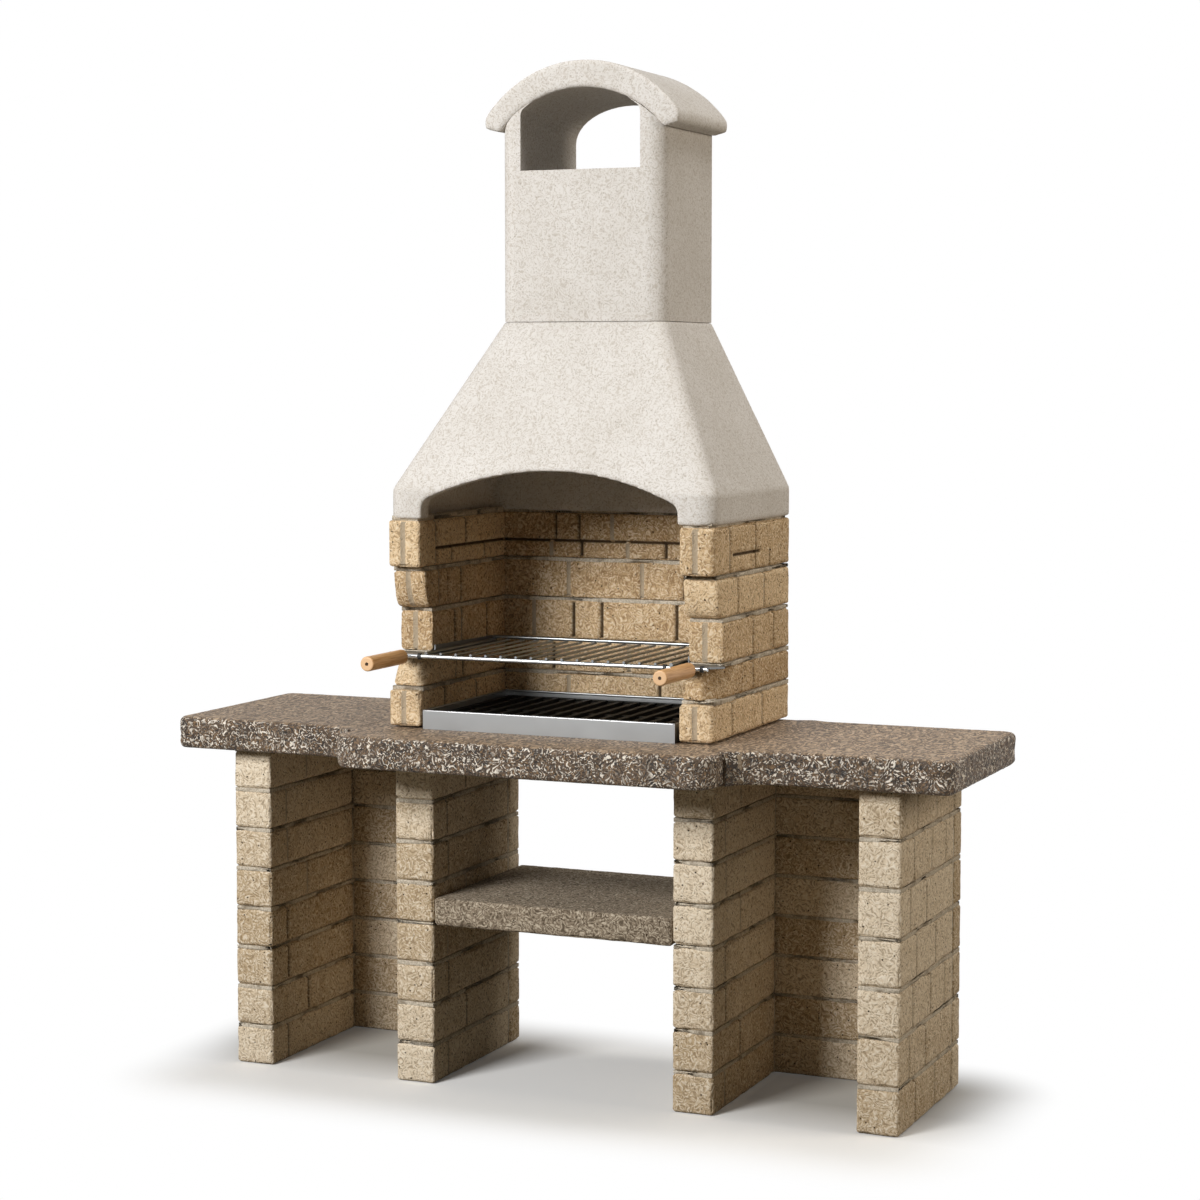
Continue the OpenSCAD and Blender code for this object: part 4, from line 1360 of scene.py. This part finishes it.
    def back(self, course: int) -> Surface:
        """Builds one course of the hearth back, keyed into the cheeks.

        Args:
            course: number of the course from below, from 0.

        Returns:
            The surface of the course.
        """
        low, high = node_box(f"hearth_back_{course + 1}")
        low[0] -= self.keyed
        high[0] += self.keyed
        seed = 500 + course * 13
        joints = []
        for up in self.back_uprights(course):
            place, wide = up.along + self.keyed, self.joint_width
            for facing in (-1, 1):
                joints.append(FalseJoint(0, place, 1, facing, up.filled, wide, begin=up.low, end=up.high))
        if course == TOP_COURSE:
            for facing in (-1, 1):
                joints.append(FalseJoint(2, self.low_row, 1, facing, filled=False))
        block = RoughBlock(low, high, self.back_radius, joints=tuple(joints), lump=self.back_lump, seed=seed)
        # Painted shade: the tone is centred low, so the back, in the shade of the cheeks and hood, is drawn
        # darker than the cheeks; it swings at random about that.
        block.tone = own_tone(seed, 0.18, 0.3, 1.9)
        return block.build()

    def mortar(self) -> Surface:
        """Builds the beds between the courses, under them and over them.

        Returns:
            The surface of all beds.
        """
        parts = []
        boxes = [node_box("hearth_slab")]
        boxes += [node_box(f"left_cheek_{number}") for number in range(1, COURSES + 1)]
        boxes.append(node_box("smoke_hood"))
        cheeks = (node_box("left_cheek_1"), node_box("right_cheek_1"))
        front_y = cheeks[0][0][1]
        back_low, back_high = node_box("hearth_back_1")
        for seat in range(COURSES + 1):
            # The lowest bed ends on the slab, the highest reaches further into the hood, and neither shrank.
            at_foot, at_head = seat == 0, seat == COURSES
            below = boxes[seat][1][2] + (self.bed.reach if at_foot else 0)
            above = boxes[seat + 1][0][2] + (self.bed.reach if at_head else 0)
            shrunk = not (at_foot or at_head)
            inset = self.foot_inset if at_foot else self.head_inset if at_head else 0.0
            front = front_y + self.bed_setbacks[seat] * MM + inset
            for number, (low, high) in enumerate(cheeks):
                first, last = (low[0] + inset, front, below), (high[0] - inset, back_high[1] - inset, above)
                parts += self.bed.fill(first, last, 600 + seat * 3 + number, shrunk=shrunk)
            first = (back_low[0] - self.bed.core_rake, back_low[1] + inset, below)
            last = (back_high[0] + self.bed.core_rake, back_high[1] - inset, above)
            parts += self.bed.fill(first, last, 640 + seat, shrunk=shrunk)
        return join(parts)

    def build(self) -> None:
        """Builds the cheeks, the back and the mortar."""
        brick = self.palette.of(Slot.HEARTH_BLOCK)
        front_y = node_box("left_cheek_1")[0][1]
        for side in ("left", "right"):
            for course in range(COURSES):
                node = f"{side}_cheek_{course + 1}"
                surface = self.cheek(side, course, front_y)
                add_piece(f"{node}_bricks", surface, brick, node)
        for course in range(COURSES):
            node = f"hearth_back_{course + 1}"
            add_piece(f"{node}_bricks", self.back(course), brick, node)
        mortar = self.palette.of(Slot.MORTAR)
        add_piece("hearth_joints", self.mortar(), mortar, "hearth_mortar")


@dataclass
class Worktop:
    """Three slabs of washed aggregate concrete; the side slabs flare out to the hearth slab."""

    palette: Palette
    flare_length: float = 130 * MM
    flare_reach: float = 50 * MM
    corner: float = 30 * MM
    hearth_corner: float = 50 * MM
    edge: float = 12 * MM
    step: float = 5 * MM
    coarse: float = 3.4 * MM
    coarse_size: float = 24 * MM
    grit: float = 3.0 * MM
    grit_size: float = 9 * MM
    # The rim of the flat top lies this many reaches of the edge inside the outline.
    rim: float = 1.9
    front_clear: float = 2 * MM
    # Cement wedge over the end of a flare: its reach past and short of the joint, its depth and its gaps.
    wedge: float = 34 * MM
    wedge_back: float = 14 * MM
    wedge_depth: float = 45 * MM
    wedge_gaps: tuple[float, float, float] = (0.5 * MM, 3 * MM, 0.8 * MM)
    # Strip of cement along a joint: its sides, its ends, its depth and its gap under the top.
    strip_sides: tuple[float, float] = (4 * MM, -6 * MM)
    strip_ends: tuple[float, float] = (12 * MM, 8 * MM)
    strip_depth: float = 20 * MM
    strip_gap: float = 0.2 * MM

    def flare_radius(self) -> float:
        """Radius of the arc of a flare."""
        return (self.flare_length**2 + self.flare_reach**2) / (2 * self.flare_reach)

    def side_outline(self, low: np.ndarray, high: np.ndarray, mirrored: bool) -> np.ndarray:
        """Plan outline of a side slab.

        Args:
            low: lowest corner of the left slab.
            high: its highest corner.
            mirrored: whether it is the right slab.

        Returns:
            The outline, anticlockwise from above.
        """
        overhang = low[1] + self.flare_reach
        radius = self.flare_radius()
        start = high[0] - self.flare_length
        path: Plan = []
        arc(path, low[0] + self.corner, overhang + self.corner, self.corner, 180, 270)
        span = math.degrees(math.asin(self.flare_length / radius))
        arc(path, start, overhang - radius, radius, 90, 90 - span)
        path.append((high[0], high[1]))
        arc(path, low[0] + self.corner, high[1] - self.corner, self.corner, 90, 180)
        outline = np.array(path)
        if mirrored:
            outline = outline[::-1] * np.array([-1, 1])
        return outline

    def hearth_outline(self, low: np.ndarray, high: np.ndarray) -> np.ndarray:
        """Plan outline of the hearth slab.

        Args:
            low: lowest corner of the slab.
            high: its highest corner.

        Returns:
            The outline, anticlockwise from above.
        """
        radius = self.hearth_corner
        path: Plan = []
        arc(path, low[0] + radius, low[1] + radius, radius, 180, 270)
        arc(path, high[0] - radius, low[1] + radius, radius, 270, 360)
        path += [(high[0], high[1]), (low[0], high[1])]
        return np.array(path)

    def sawn(self, from_joint: np.ndarray) -> np.ndarray:
        """Gives nearly 1 at a joint between two slabs, where the edge is sawn, and 0 where it is broken."""
        return 1 - np.clip(0.02 + 0.33 * from_joint / self.edge, 0, 1)

    def slab(
        self,
        outline: np.ndarray,
        bottom: float,
        top: float,
        seed: int,
        plain: Callable[[np.ndarray], np.ndarray],
    ) -> Surface:
        """Builds a slab over an outline, with rounded, broken edges and a slightly uneven rim on top.

        Args:
            outline: plan outline, anticlockwise from above.
            bottom: level of the underside.
            top: level of the top.
            seed: number of its noise field.
            plain: gives how far the edge is sawn and not broken at each outline point, from 0 to 1.

        Returns:
            The surface of the slab.
        """
        ring, normal = resample(outline, self.step)
        sawn = plain(ring)
        reach = self.edge * (1 - sawn)
        levels = [(1 - math.sin(a), 1 - math.cos(a)) for a in np.radians([0, 22.5, 45, 67.5, 90])]
        height = top - bottom - 2 * self.edge
        straight = max(2, round(height / self.step))
        rows = [(self.rim, bottom)]
        rows += [(inset, bottom + self.edge * rise) for inset, rise in levels]
        rows += [(0.0, bottom + self.edge + height * i / straight) for i in range(1, straight)]
        rows += [(inset, top - self.edge * rise) for inset, rise in reversed(levels)]
        rows.append((self.rim, top))
        points = []
        for inset, level in rows:
            place = np.column_stack([ring - normal * (reach * inset)[:, None], np.full(len(ring), level)])
            rough = 0.5 + 0.5 * smooth_noise(place, self.coarse_size, seed)
            grit = 0.5 + 0.5 * smooth_noise(place, self.grit_size, seed + 1)
            bite = (self.coarse * rough + self.grit * grit) * (1 - sawn) * (inset < self.rim)
            place[:, :2] -= normal * bite[:, None]
            points.append(place)
        count = len(ring)
        faces: list[tuple[int, ...]] = []
        for row in range(len(rows) - 1):
            here, above = row * count, (row + 1) * count
            for i in range(count):
                j = (i + 1) % count
                faces.append((here + i, here + j, above + j, above + i))
        faces.append(tuple(range(count - 1, -1, -1)))
        faces.append(tuple(range((len(rows) - 1) * count, len(rows) * count)))
        every = np.concatenate(points)
        return Surface(every, faces, np.full(len(every), 0.5), np.zeros(len(every)))

    def pointing(self) -> Surface:
        """Builds the cement between the slabs.

        Returns:
            The surface of a wedge over the end of each flare and a strip along each joint.
        """
        (_, front, bottom), (joint_x, back, top) = node_box("left_worktop_slab")
        edge = abs(joint_x)
        radius = self.flare_radius()
        front_gap, low_gap, top_gap = self.wedge_gaps
        worn_wedge = {"radius": 7 * MM, "cell": 5 * MM, "lump": 4 * MM, "chip": 3 * MM}
        smooth_strip = {"radius": 1 * MM, "cell": 12 * MM, "lump": 0.2 * MM, "chip": 0.1 * MM}
        parts = []
        for number, side in enumerate((-1, 1)):
            ends = sorted((side * (edge - self.wedge_back), side * (edge + self.wedge)))
            low = np.array([ends[0], front + front_gap, bottom + low_gap])
            high = np.array([ends[1], front + self.wedge_depth, top - top_gap])
            wedge = RoughBlock(low, high, **worn_wedge, seed=81 + number).build()
            along = self.flare_length - np.clip(np.abs(wedge.points[:, 0]) - edge, 0, self.flare_length)
            wedge.points[:, 1] += self.flare_reach - (radius - np.sqrt(radius**2 - along**2))
            ends = sorted(side * (edge + reach) for reach in self.strip_sides)
            low = np.array([ends[0], front + self.strip_ends[0], top - self.strip_depth])
            high = np.array([ends[1], back - self.strip_ends[1], top - self.strip_gap])
            strip = RoughBlock(low, high, **smooth_strip, seed=91 + number).build()
            parts += [wedge, strip]
        return join(parts)

    def build(self) -> None:
        """Builds the three slabs and the cement between them."""
        material = self.palette.of(Slot.AGGREGATE_SLAB)
        low, high = node_box("left_worktop_slab")
        hearth_low, hearth_high = node_box("hearth_slab")
        edge_x, front = abs(high[0]), low[1] + self.front_clear

        def side_sawn(ring: np.ndarray) -> np.ndarray:
            """How far a side slab's edge is sawn at each outline point."""
            return self.sawn(np.abs(ring[:, 0]) - edge_x)

        def hearth_sawn(ring: np.ndarray) -> np.ndarray:
            """How far the hearth slab's edge is sawn: only behind the fronts of the side slabs."""
            return np.where(ring[:, 1] > front, self.sawn(hearth_high[0] - np.abs(ring[:, 0])), 0)

        for side, seed in (("left", 31), ("right", 41)):
            plan = self.side_outline(low, high, side == "right")
            surface = self.slab(plan, low[2], high[2], seed, side_sawn)
            node = f"{side}_worktop_slab"
            add_piece(f"{node}_stone", surface, material, node)
        plan = self.hearth_outline(hearth_low, hearth_high)
        surface = self.slab(plan, hearth_low[2], hearth_high[2], 51, hearth_sawn)
        add_piece("hearth_slab_stone", surface, material, "hearth_slab")
        cement = LimeMortar("troweled_cement", pale="#aa9a86", sandy="#85745f", stain="#6a5a4a").material()
        add_piece("slab_pointing", self.pointing(), cement, "worktop_grout")


def arc(path: Plan, x: float, y: float, radius: float, start: float, end: float) -> None:
    """Adds the points of an arc to a plan path.

    Args:
        path: the path, which grows.
        x: centre of the arc.
        y: centre of the arc.
        radius: its radius.
        start: direction of its first point in degrees.
        end: direction of its last point.
    """
    count = max(4, round(abs(end - start) / 6))
    for i in range(count + 1):
        angle = math.radians(start + (end - start) * i / count)
        path.append((x + radius * math.cos(angle), y + radius * math.sin(angle)))


def resample(outline: np.ndarray, step: float) -> tuple[np.ndarray, np.ndarray]:
    """Spreads points evenly along a closed outline, keeping its corners.

    Args:
        outline: closed plan outline, anticlockwise.
        step: distance between points.

    Returns:
        The points and the outward direction at each.
    """
    points = []
    count = len(outline)
    for i in range(count):
        first, second = outline[i], outline[(i + 1) % count]
        length = np.linalg.norm(second - first)
        if length < 1e-7:
            continue
        steps = max(1, round(length / step))
        for k in range(steps):
            points.append(first + (second - first) * k / steps)
    ring = np.array(points)
    before, after = np.roll(ring, 1, axis=0), np.roll(ring, -1, axis=0)
    tangent = after - before
    normals = np.column_stack([tangent[:, 1], -tangent[:, 0]])
    return ring, normals / np.linalg.norm(normals, axis=1)[:, None]


@dataclass
class Castings:
    """Cast hood and roof, whose mould left every edge soft."""

    palette: Palette
    voxel: float = 6 * MM
    softening: dict[str, int] = field(default_factory=lambda: {"smoke_hood": 4, "chimney_roof": 7})
    rub: float = 0.5
    # Faces within this angle of each other, in degrees, become one, and one of this area is shaded flat.
    flatness: float = 1.2
    broad: float = 0.01

    def soften(self, node: bpy.types.Object, rounds: int) -> bpy.types.Object:
        """Makes a casting from a CAD node, with its edges rubbed round.

        Args:
            node: the CAD node.
            rounds: how often the surface is smoothed; more rounds give rounder edges.

        Returns:
            The new object.
        """
        source = bpy.data.objects.new(f"{node.name}_mould", node.data.copy())
        bpy.context.scene.collection.objects.link(source)
        remesh = source.modifiers.new("cells", "REMESH")
        remesh.mode = "VOXEL"
        remesh.voxel_size = self.voxel
        smooth = source.modifiers.new("rub", "SMOOTH")
        smooth.factor = self.rub
        smooth.iterations = rounds
        flats = source.modifiers.new("flats", "DECIMATE")
        flats.decimate_type = "DISSOLVE"
        flats.angle_limit = math.radians(self.flatness)
        shaped = source.evaluated_get(bpy.context.evaluated_depsgraph_get())
        mesh = bpy.data.meshes.new_from_object(shaped)
        bpy.data.objects.remove(source)
        mesh.name = f"{node.name}_casting"
        mesh.materials.clear()
        mesh.materials.append(self.palette.of(Slot.CAST_STONE))
        mesh.shade_smooth()
        for polygon in mesh.polygons:
            polygon.use_smooth = polygon.area < self.broad
        piece = bpy.data.objects.new(mesh.name, mesh)
        bpy.context.scene.collection.objects.link(piece)
        return piece

    def build(self, nodes: dict[str, bpy.types.Object]) -> None:
        """Builds the castings.

        Args:
            nodes: the CAD nodes by name.
        """
        for name, rounds in self.softening.items():
            fix(self.soften(nodes[name], rounds), name)


@dataclass
class CarriedNodes:
    """CAD nodes whose shape is right, which only get their finish."""

    palette: Palette
    slots: dict[Slot, tuple[str, ...]] = field(
        default_factory=lambda: {
            Slot.CAST_STONE: ("flue_block", "chimney_head"),
            Slot.RAIL_STEEL: ("left_grill_rail", "right_grill_rail"),
            Slot.CHROMED_WIRE: (
                "grill_grid",
                "grill_front_bar",
                "left_handle_ferrule",
                "right_handle_ferrule",
            ),
            Slot.PLAIN_STEEL: (
                "left_handle_tang",
                "right_handle_tang",
                "left_handle_screw",
                "right_handle_screw",
            ),
            Slot.BLACK_RING: ("left_stop_ring", "right_stop_ring"),
            Slot.BEECH: ("left_handle", "right_handle"),
            Slot.TRAY_STEEL: ("fire_tray",),
            Slot.CAST_IRON: ("charcoal_grate",),
        }
    )
    # Pieces darker than the rest of their slot: the grill grid, painted darker for the dark reflections it
    # shows, and the screws, which fire has burnt.
    worn: tuple[tuple[tuple[str, ...], Metal], ...] = (
        # Painted reflection: the grid's chrome is darkened to stand for the dark hearth that it reflects.
        (("grill_grid",), Metal("reflection_darkened_chrome_plate", colour="#8b8e8f", roughness=0.26)),
        (("left_handle_screw", "right_handle_screw"), Metal("burnt_steel", colour="#4a3c31", roughness=0.5)),
    )

    @staticmethod
    def coat(node: bpy.types.Object, material: bpy.types.Material) -> None:
        """Puts a material in all the material slots of a node."""
        for material_slot in node.material_slots:
            material_slot.material = material

    def dress(self, nodes: dict[str, bpy.types.Object]) -> None:
        """Gives each carried node its finish.

        Args:
            nodes: the CAD nodes by name.
        """
        for slot, names in self.slots.items():
            for name in names:
                self.coat(nodes[name], self.palette.of(slot))
                LOG.info("%s: dressed", name)
        for names, finish in self.worn:
            material = finish.material()
            for name in names:
                self.coat(nodes[name], material)


@dataclass(frozen=True)
class Lamp:
    """Soft square lamp: where it hangs, the length of its side, its watts and its colour."""

    name: str
    place: tuple[float, float, float]
    size: float
    power: float
    colour: tuple[float, float, float] = (1.0, 1.0, 1.0)


@dataclass
class Studio:
    """Plain pale floor, soft lamps and the camera at the photograph's angle."""

    camera_at: tuple[float, float, float] = (2.5251, -5.7043, 1.6705)
    yaw: float = 23.332
    pitch: float = 4.849
    focal_px: float = 2703.2
    image_px: float = 1200.0
    sensor_mm: float = 36.0
    far_limit: float = 200.0
    middle: float = 1.1
    floor_size: float = 60.0
    # Half extent of the ground by the walls that shows its shadow; beyond it the floor fades to white.
    footprint: tuple[float, float, float] = (0.80, 0.26, 0.0)
    fade: float = 0.30
    floor_glow: float = 0.04
    floor: Colour = (0.95, 0.95, 0.94, 1)
    # Inside the bays the floor is painted darker, a painted shadow, from this far beside the middle and from
    # this far back.
    bay_shadow_floor: Colour = (0.42, 0.41, 0.38, 1)
    bay_shadow_side: tuple[float, float] = (0.36, 0.42)
    bay_shadow_front: tuple[float, float] = (-0.16, 0.06)
    # What the floor throws back on the object, darker and warmer than what the eye sees.
    bounce: Colour = (0.17, 0.147, 0.11, 1)
    white: Colour = (1, 1, 1, 1)
    sky: float = 0.05
    sky_colour: Colour = (1.0, 0.89, 0.72, 1)
    lamps: tuple[Lamp, ...] = (
        Lamp("key", (-2.15, -5.6, 3.8), 2.2, 455),
        Lamp("fill", (5.5, 0.8, 3.0), 2.6, 112, (1.0, 0.90, 0.77)),
        Lamp("top", (1.4, 0.6, 6.0), 2.4, 95),
    )

    def camera(self) -> None:
        """Makes the camera."""
        data = bpy.data.cameras.new("camera")
        data.sensor_width = self.sensor_mm
        data.lens = self.focal_px / self.image_px * self.sensor_mm
        data.clip_end = self.far_limit
        camera = bpy.data.objects.new("camera", data)
        camera.location = self.camera_at
        camera.rotation_euler = Euler((math.radians(90 - self.pitch), 0, math.radians(self.yaw)))
        bpy.context.scene.collection.objects.link(camera)
        bpy.context.scene.camera = camera

    def hang(self, lamp: Lamp) -> None:
        """Adds a soft square lamp that points at the middle of the barbecue.

        Args:
            lamp: the lamp.
        """
        data = bpy.data.lights.new(lamp.name, "AREA")
        data.size = lamp.size
        data.energy = lamp.power
        data.color = lamp.colour
        holder = bpy.data.objects.new(lamp.name, data)
        holder.location = lamp.place
        aim = Vector((0, 0, self.middle)) - Vector(lamp.place)
        holder.rotation_euler = aim.to_track_quat("-Z", "Y").to_euler()
        bpy.context.scene.collection.objects.link(holder)

    def seen(self, tree: bpy.types.NodeTree) -> bpy.types.Node:
        """Tells what the eye, a gloss or a glass sees from what lights the object.

        Args:
            tree: node tree that takes the nodes.

        Returns:
            A node that gives 1 for what is seen and 0 for what lights.
        """
        path = add_node(tree, "ShaderNodeLightPath").outputs
        direct = {0: path["Is Camera Ray"], 1: path["Is Glossy Ray"]}
        first = add_node(tree, MATH, direct, operation="MAXIMUM")
        return add_node(tree, MATH, {0: first, 1: path["Is Transmission Ray"]}, operation="MAXIMUM")

    def ground(self) -> bpy.types.Material:
        """Makes the floor's material: pale by the walls, darker in the bays by a painted shadow, and white
        away from both.

        Returns:
            The Blender material.
        """
        material, add, place = Finish("white_floor").start()
        either = add(VECTOR, {0: place}, operation="ABSOLUTE")
        past = add(VECTOR, {0: either, 1: self.footprint}, operation="SUBTRACT")
        outside = add(VECTOR, {0: past, 1: (0, 0, 0)}, operation="MAXIMUM")
        away = add(VECTOR, {0: outside}, operation="LENGTH").outputs["Value"]
        far = add(RANGE, {0: away, 1: 0.0, 2: self.fade}, interpolation_type="SMOOTHSTEP")
        beside = add(RANGE, {0: add(AXES, {0: either}), 1: self.bay_shadow_side[0], 2: self.bay_shadow_side[1]})
        depth = add(AXES, {0: place}).outputs["Y"]
        within = add(RANGE, {0: depth, 1: self.bay_shadow_front[0], 2: self.bay_shadow_front[1]})
        # Painted shadow: inside the bays the floor colour is mixed towards the darker bay colour.
        bay = add(MATH, {0: beside, 1: within}, operation="MULTIPLY")
        shadowed_floor = add(MIX, {0: bay, 6: self.floor, 7: self.bay_shadow_floor}, data_type="RGBA")
        pale = add("ShaderNodeBsdfDiffuse", {"Color": shadowed_floor})
        glow = add("ShaderNodeEmission", {"Color": self.white, "Strength": self.floor_glow})
        near = add("ShaderNodeAddShader", {0: pale, 1: glow})
        white = add("ShaderNodeEmission", {"Color": self.white, "Strength": 1.0})
        shown = add("ShaderNodeMixShader", {0: far, 1: near, 2: white})
        thrown = add("ShaderNodeBsdfDiffuse", {"Color": self.bounce})
        seen = self.seen(material.node_tree)
        add(OUTPUT, {0: add("ShaderNodeMixShader", {0: seen, 1: thrown, 2: shown})})
        return material

    def lay_floor(self) -> None:
        """Makes the floor."""
        half = self.floor_size / 2
        corners = [(-half, -half, 0), (half, -half, 0), (half, half, 0), (-half, half, 0)]
        mesh = bpy.data.meshes.new("floor")
        mesh.from_pydata(corners, [], [(0, 1, 2, 3)])
        mesh.materials.append(self.ground())
        floor = bpy.data.objects.new("floor", mesh)
        bpy.context.scene.collection.objects.link(floor)

    def world(self) -> None:
        """Makes the world: white to the eye, softer as a light."""
        world = bpy.data.worlds.new("studio")
        bpy.context.scene.world = world
        world.use_nodes = True
        tree = world.node_tree
        tree.nodes.clear()
        soft = add_node(tree, "ShaderNodeBackground", {"Color": self.sky_colour, "Strength": self.sky})
        white = add_node(tree, "ShaderNodeBackground", {"Color": self.white, "Strength": 1.0})
        mixed = add_node(tree, "ShaderNodeMixShader", {0: self.seen(tree), 1: soft, 2: white})
        add_node(tree, "ShaderNodeOutputWorld", {0: mixed})

    def build(self) -> None:
        """Builds the camera, floor, world and lamps."""
        bpy.context.scene.view_settings.view_transform = "Standard"
        self.camera()
        self.lay_floor()
        self.world()
        for lamp in self.lamps:
            self.hang(lamp)


def main() -> None:
    """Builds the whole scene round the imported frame."""
    logging.basicConfig(level=logging.INFO, format="%(name)s: %(message)s")
    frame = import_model()
    palette = Palette()
    palette.make()
    Studio().build()
    Pedestals(palette).build()
    Worktop(palette).build()
    Hearth(palette).build()
    Castings(palette).build(frame["nodes"])
    CarriedNodes(palette).dress(frame["nodes"])


if __name__ == "__main__":
    main()
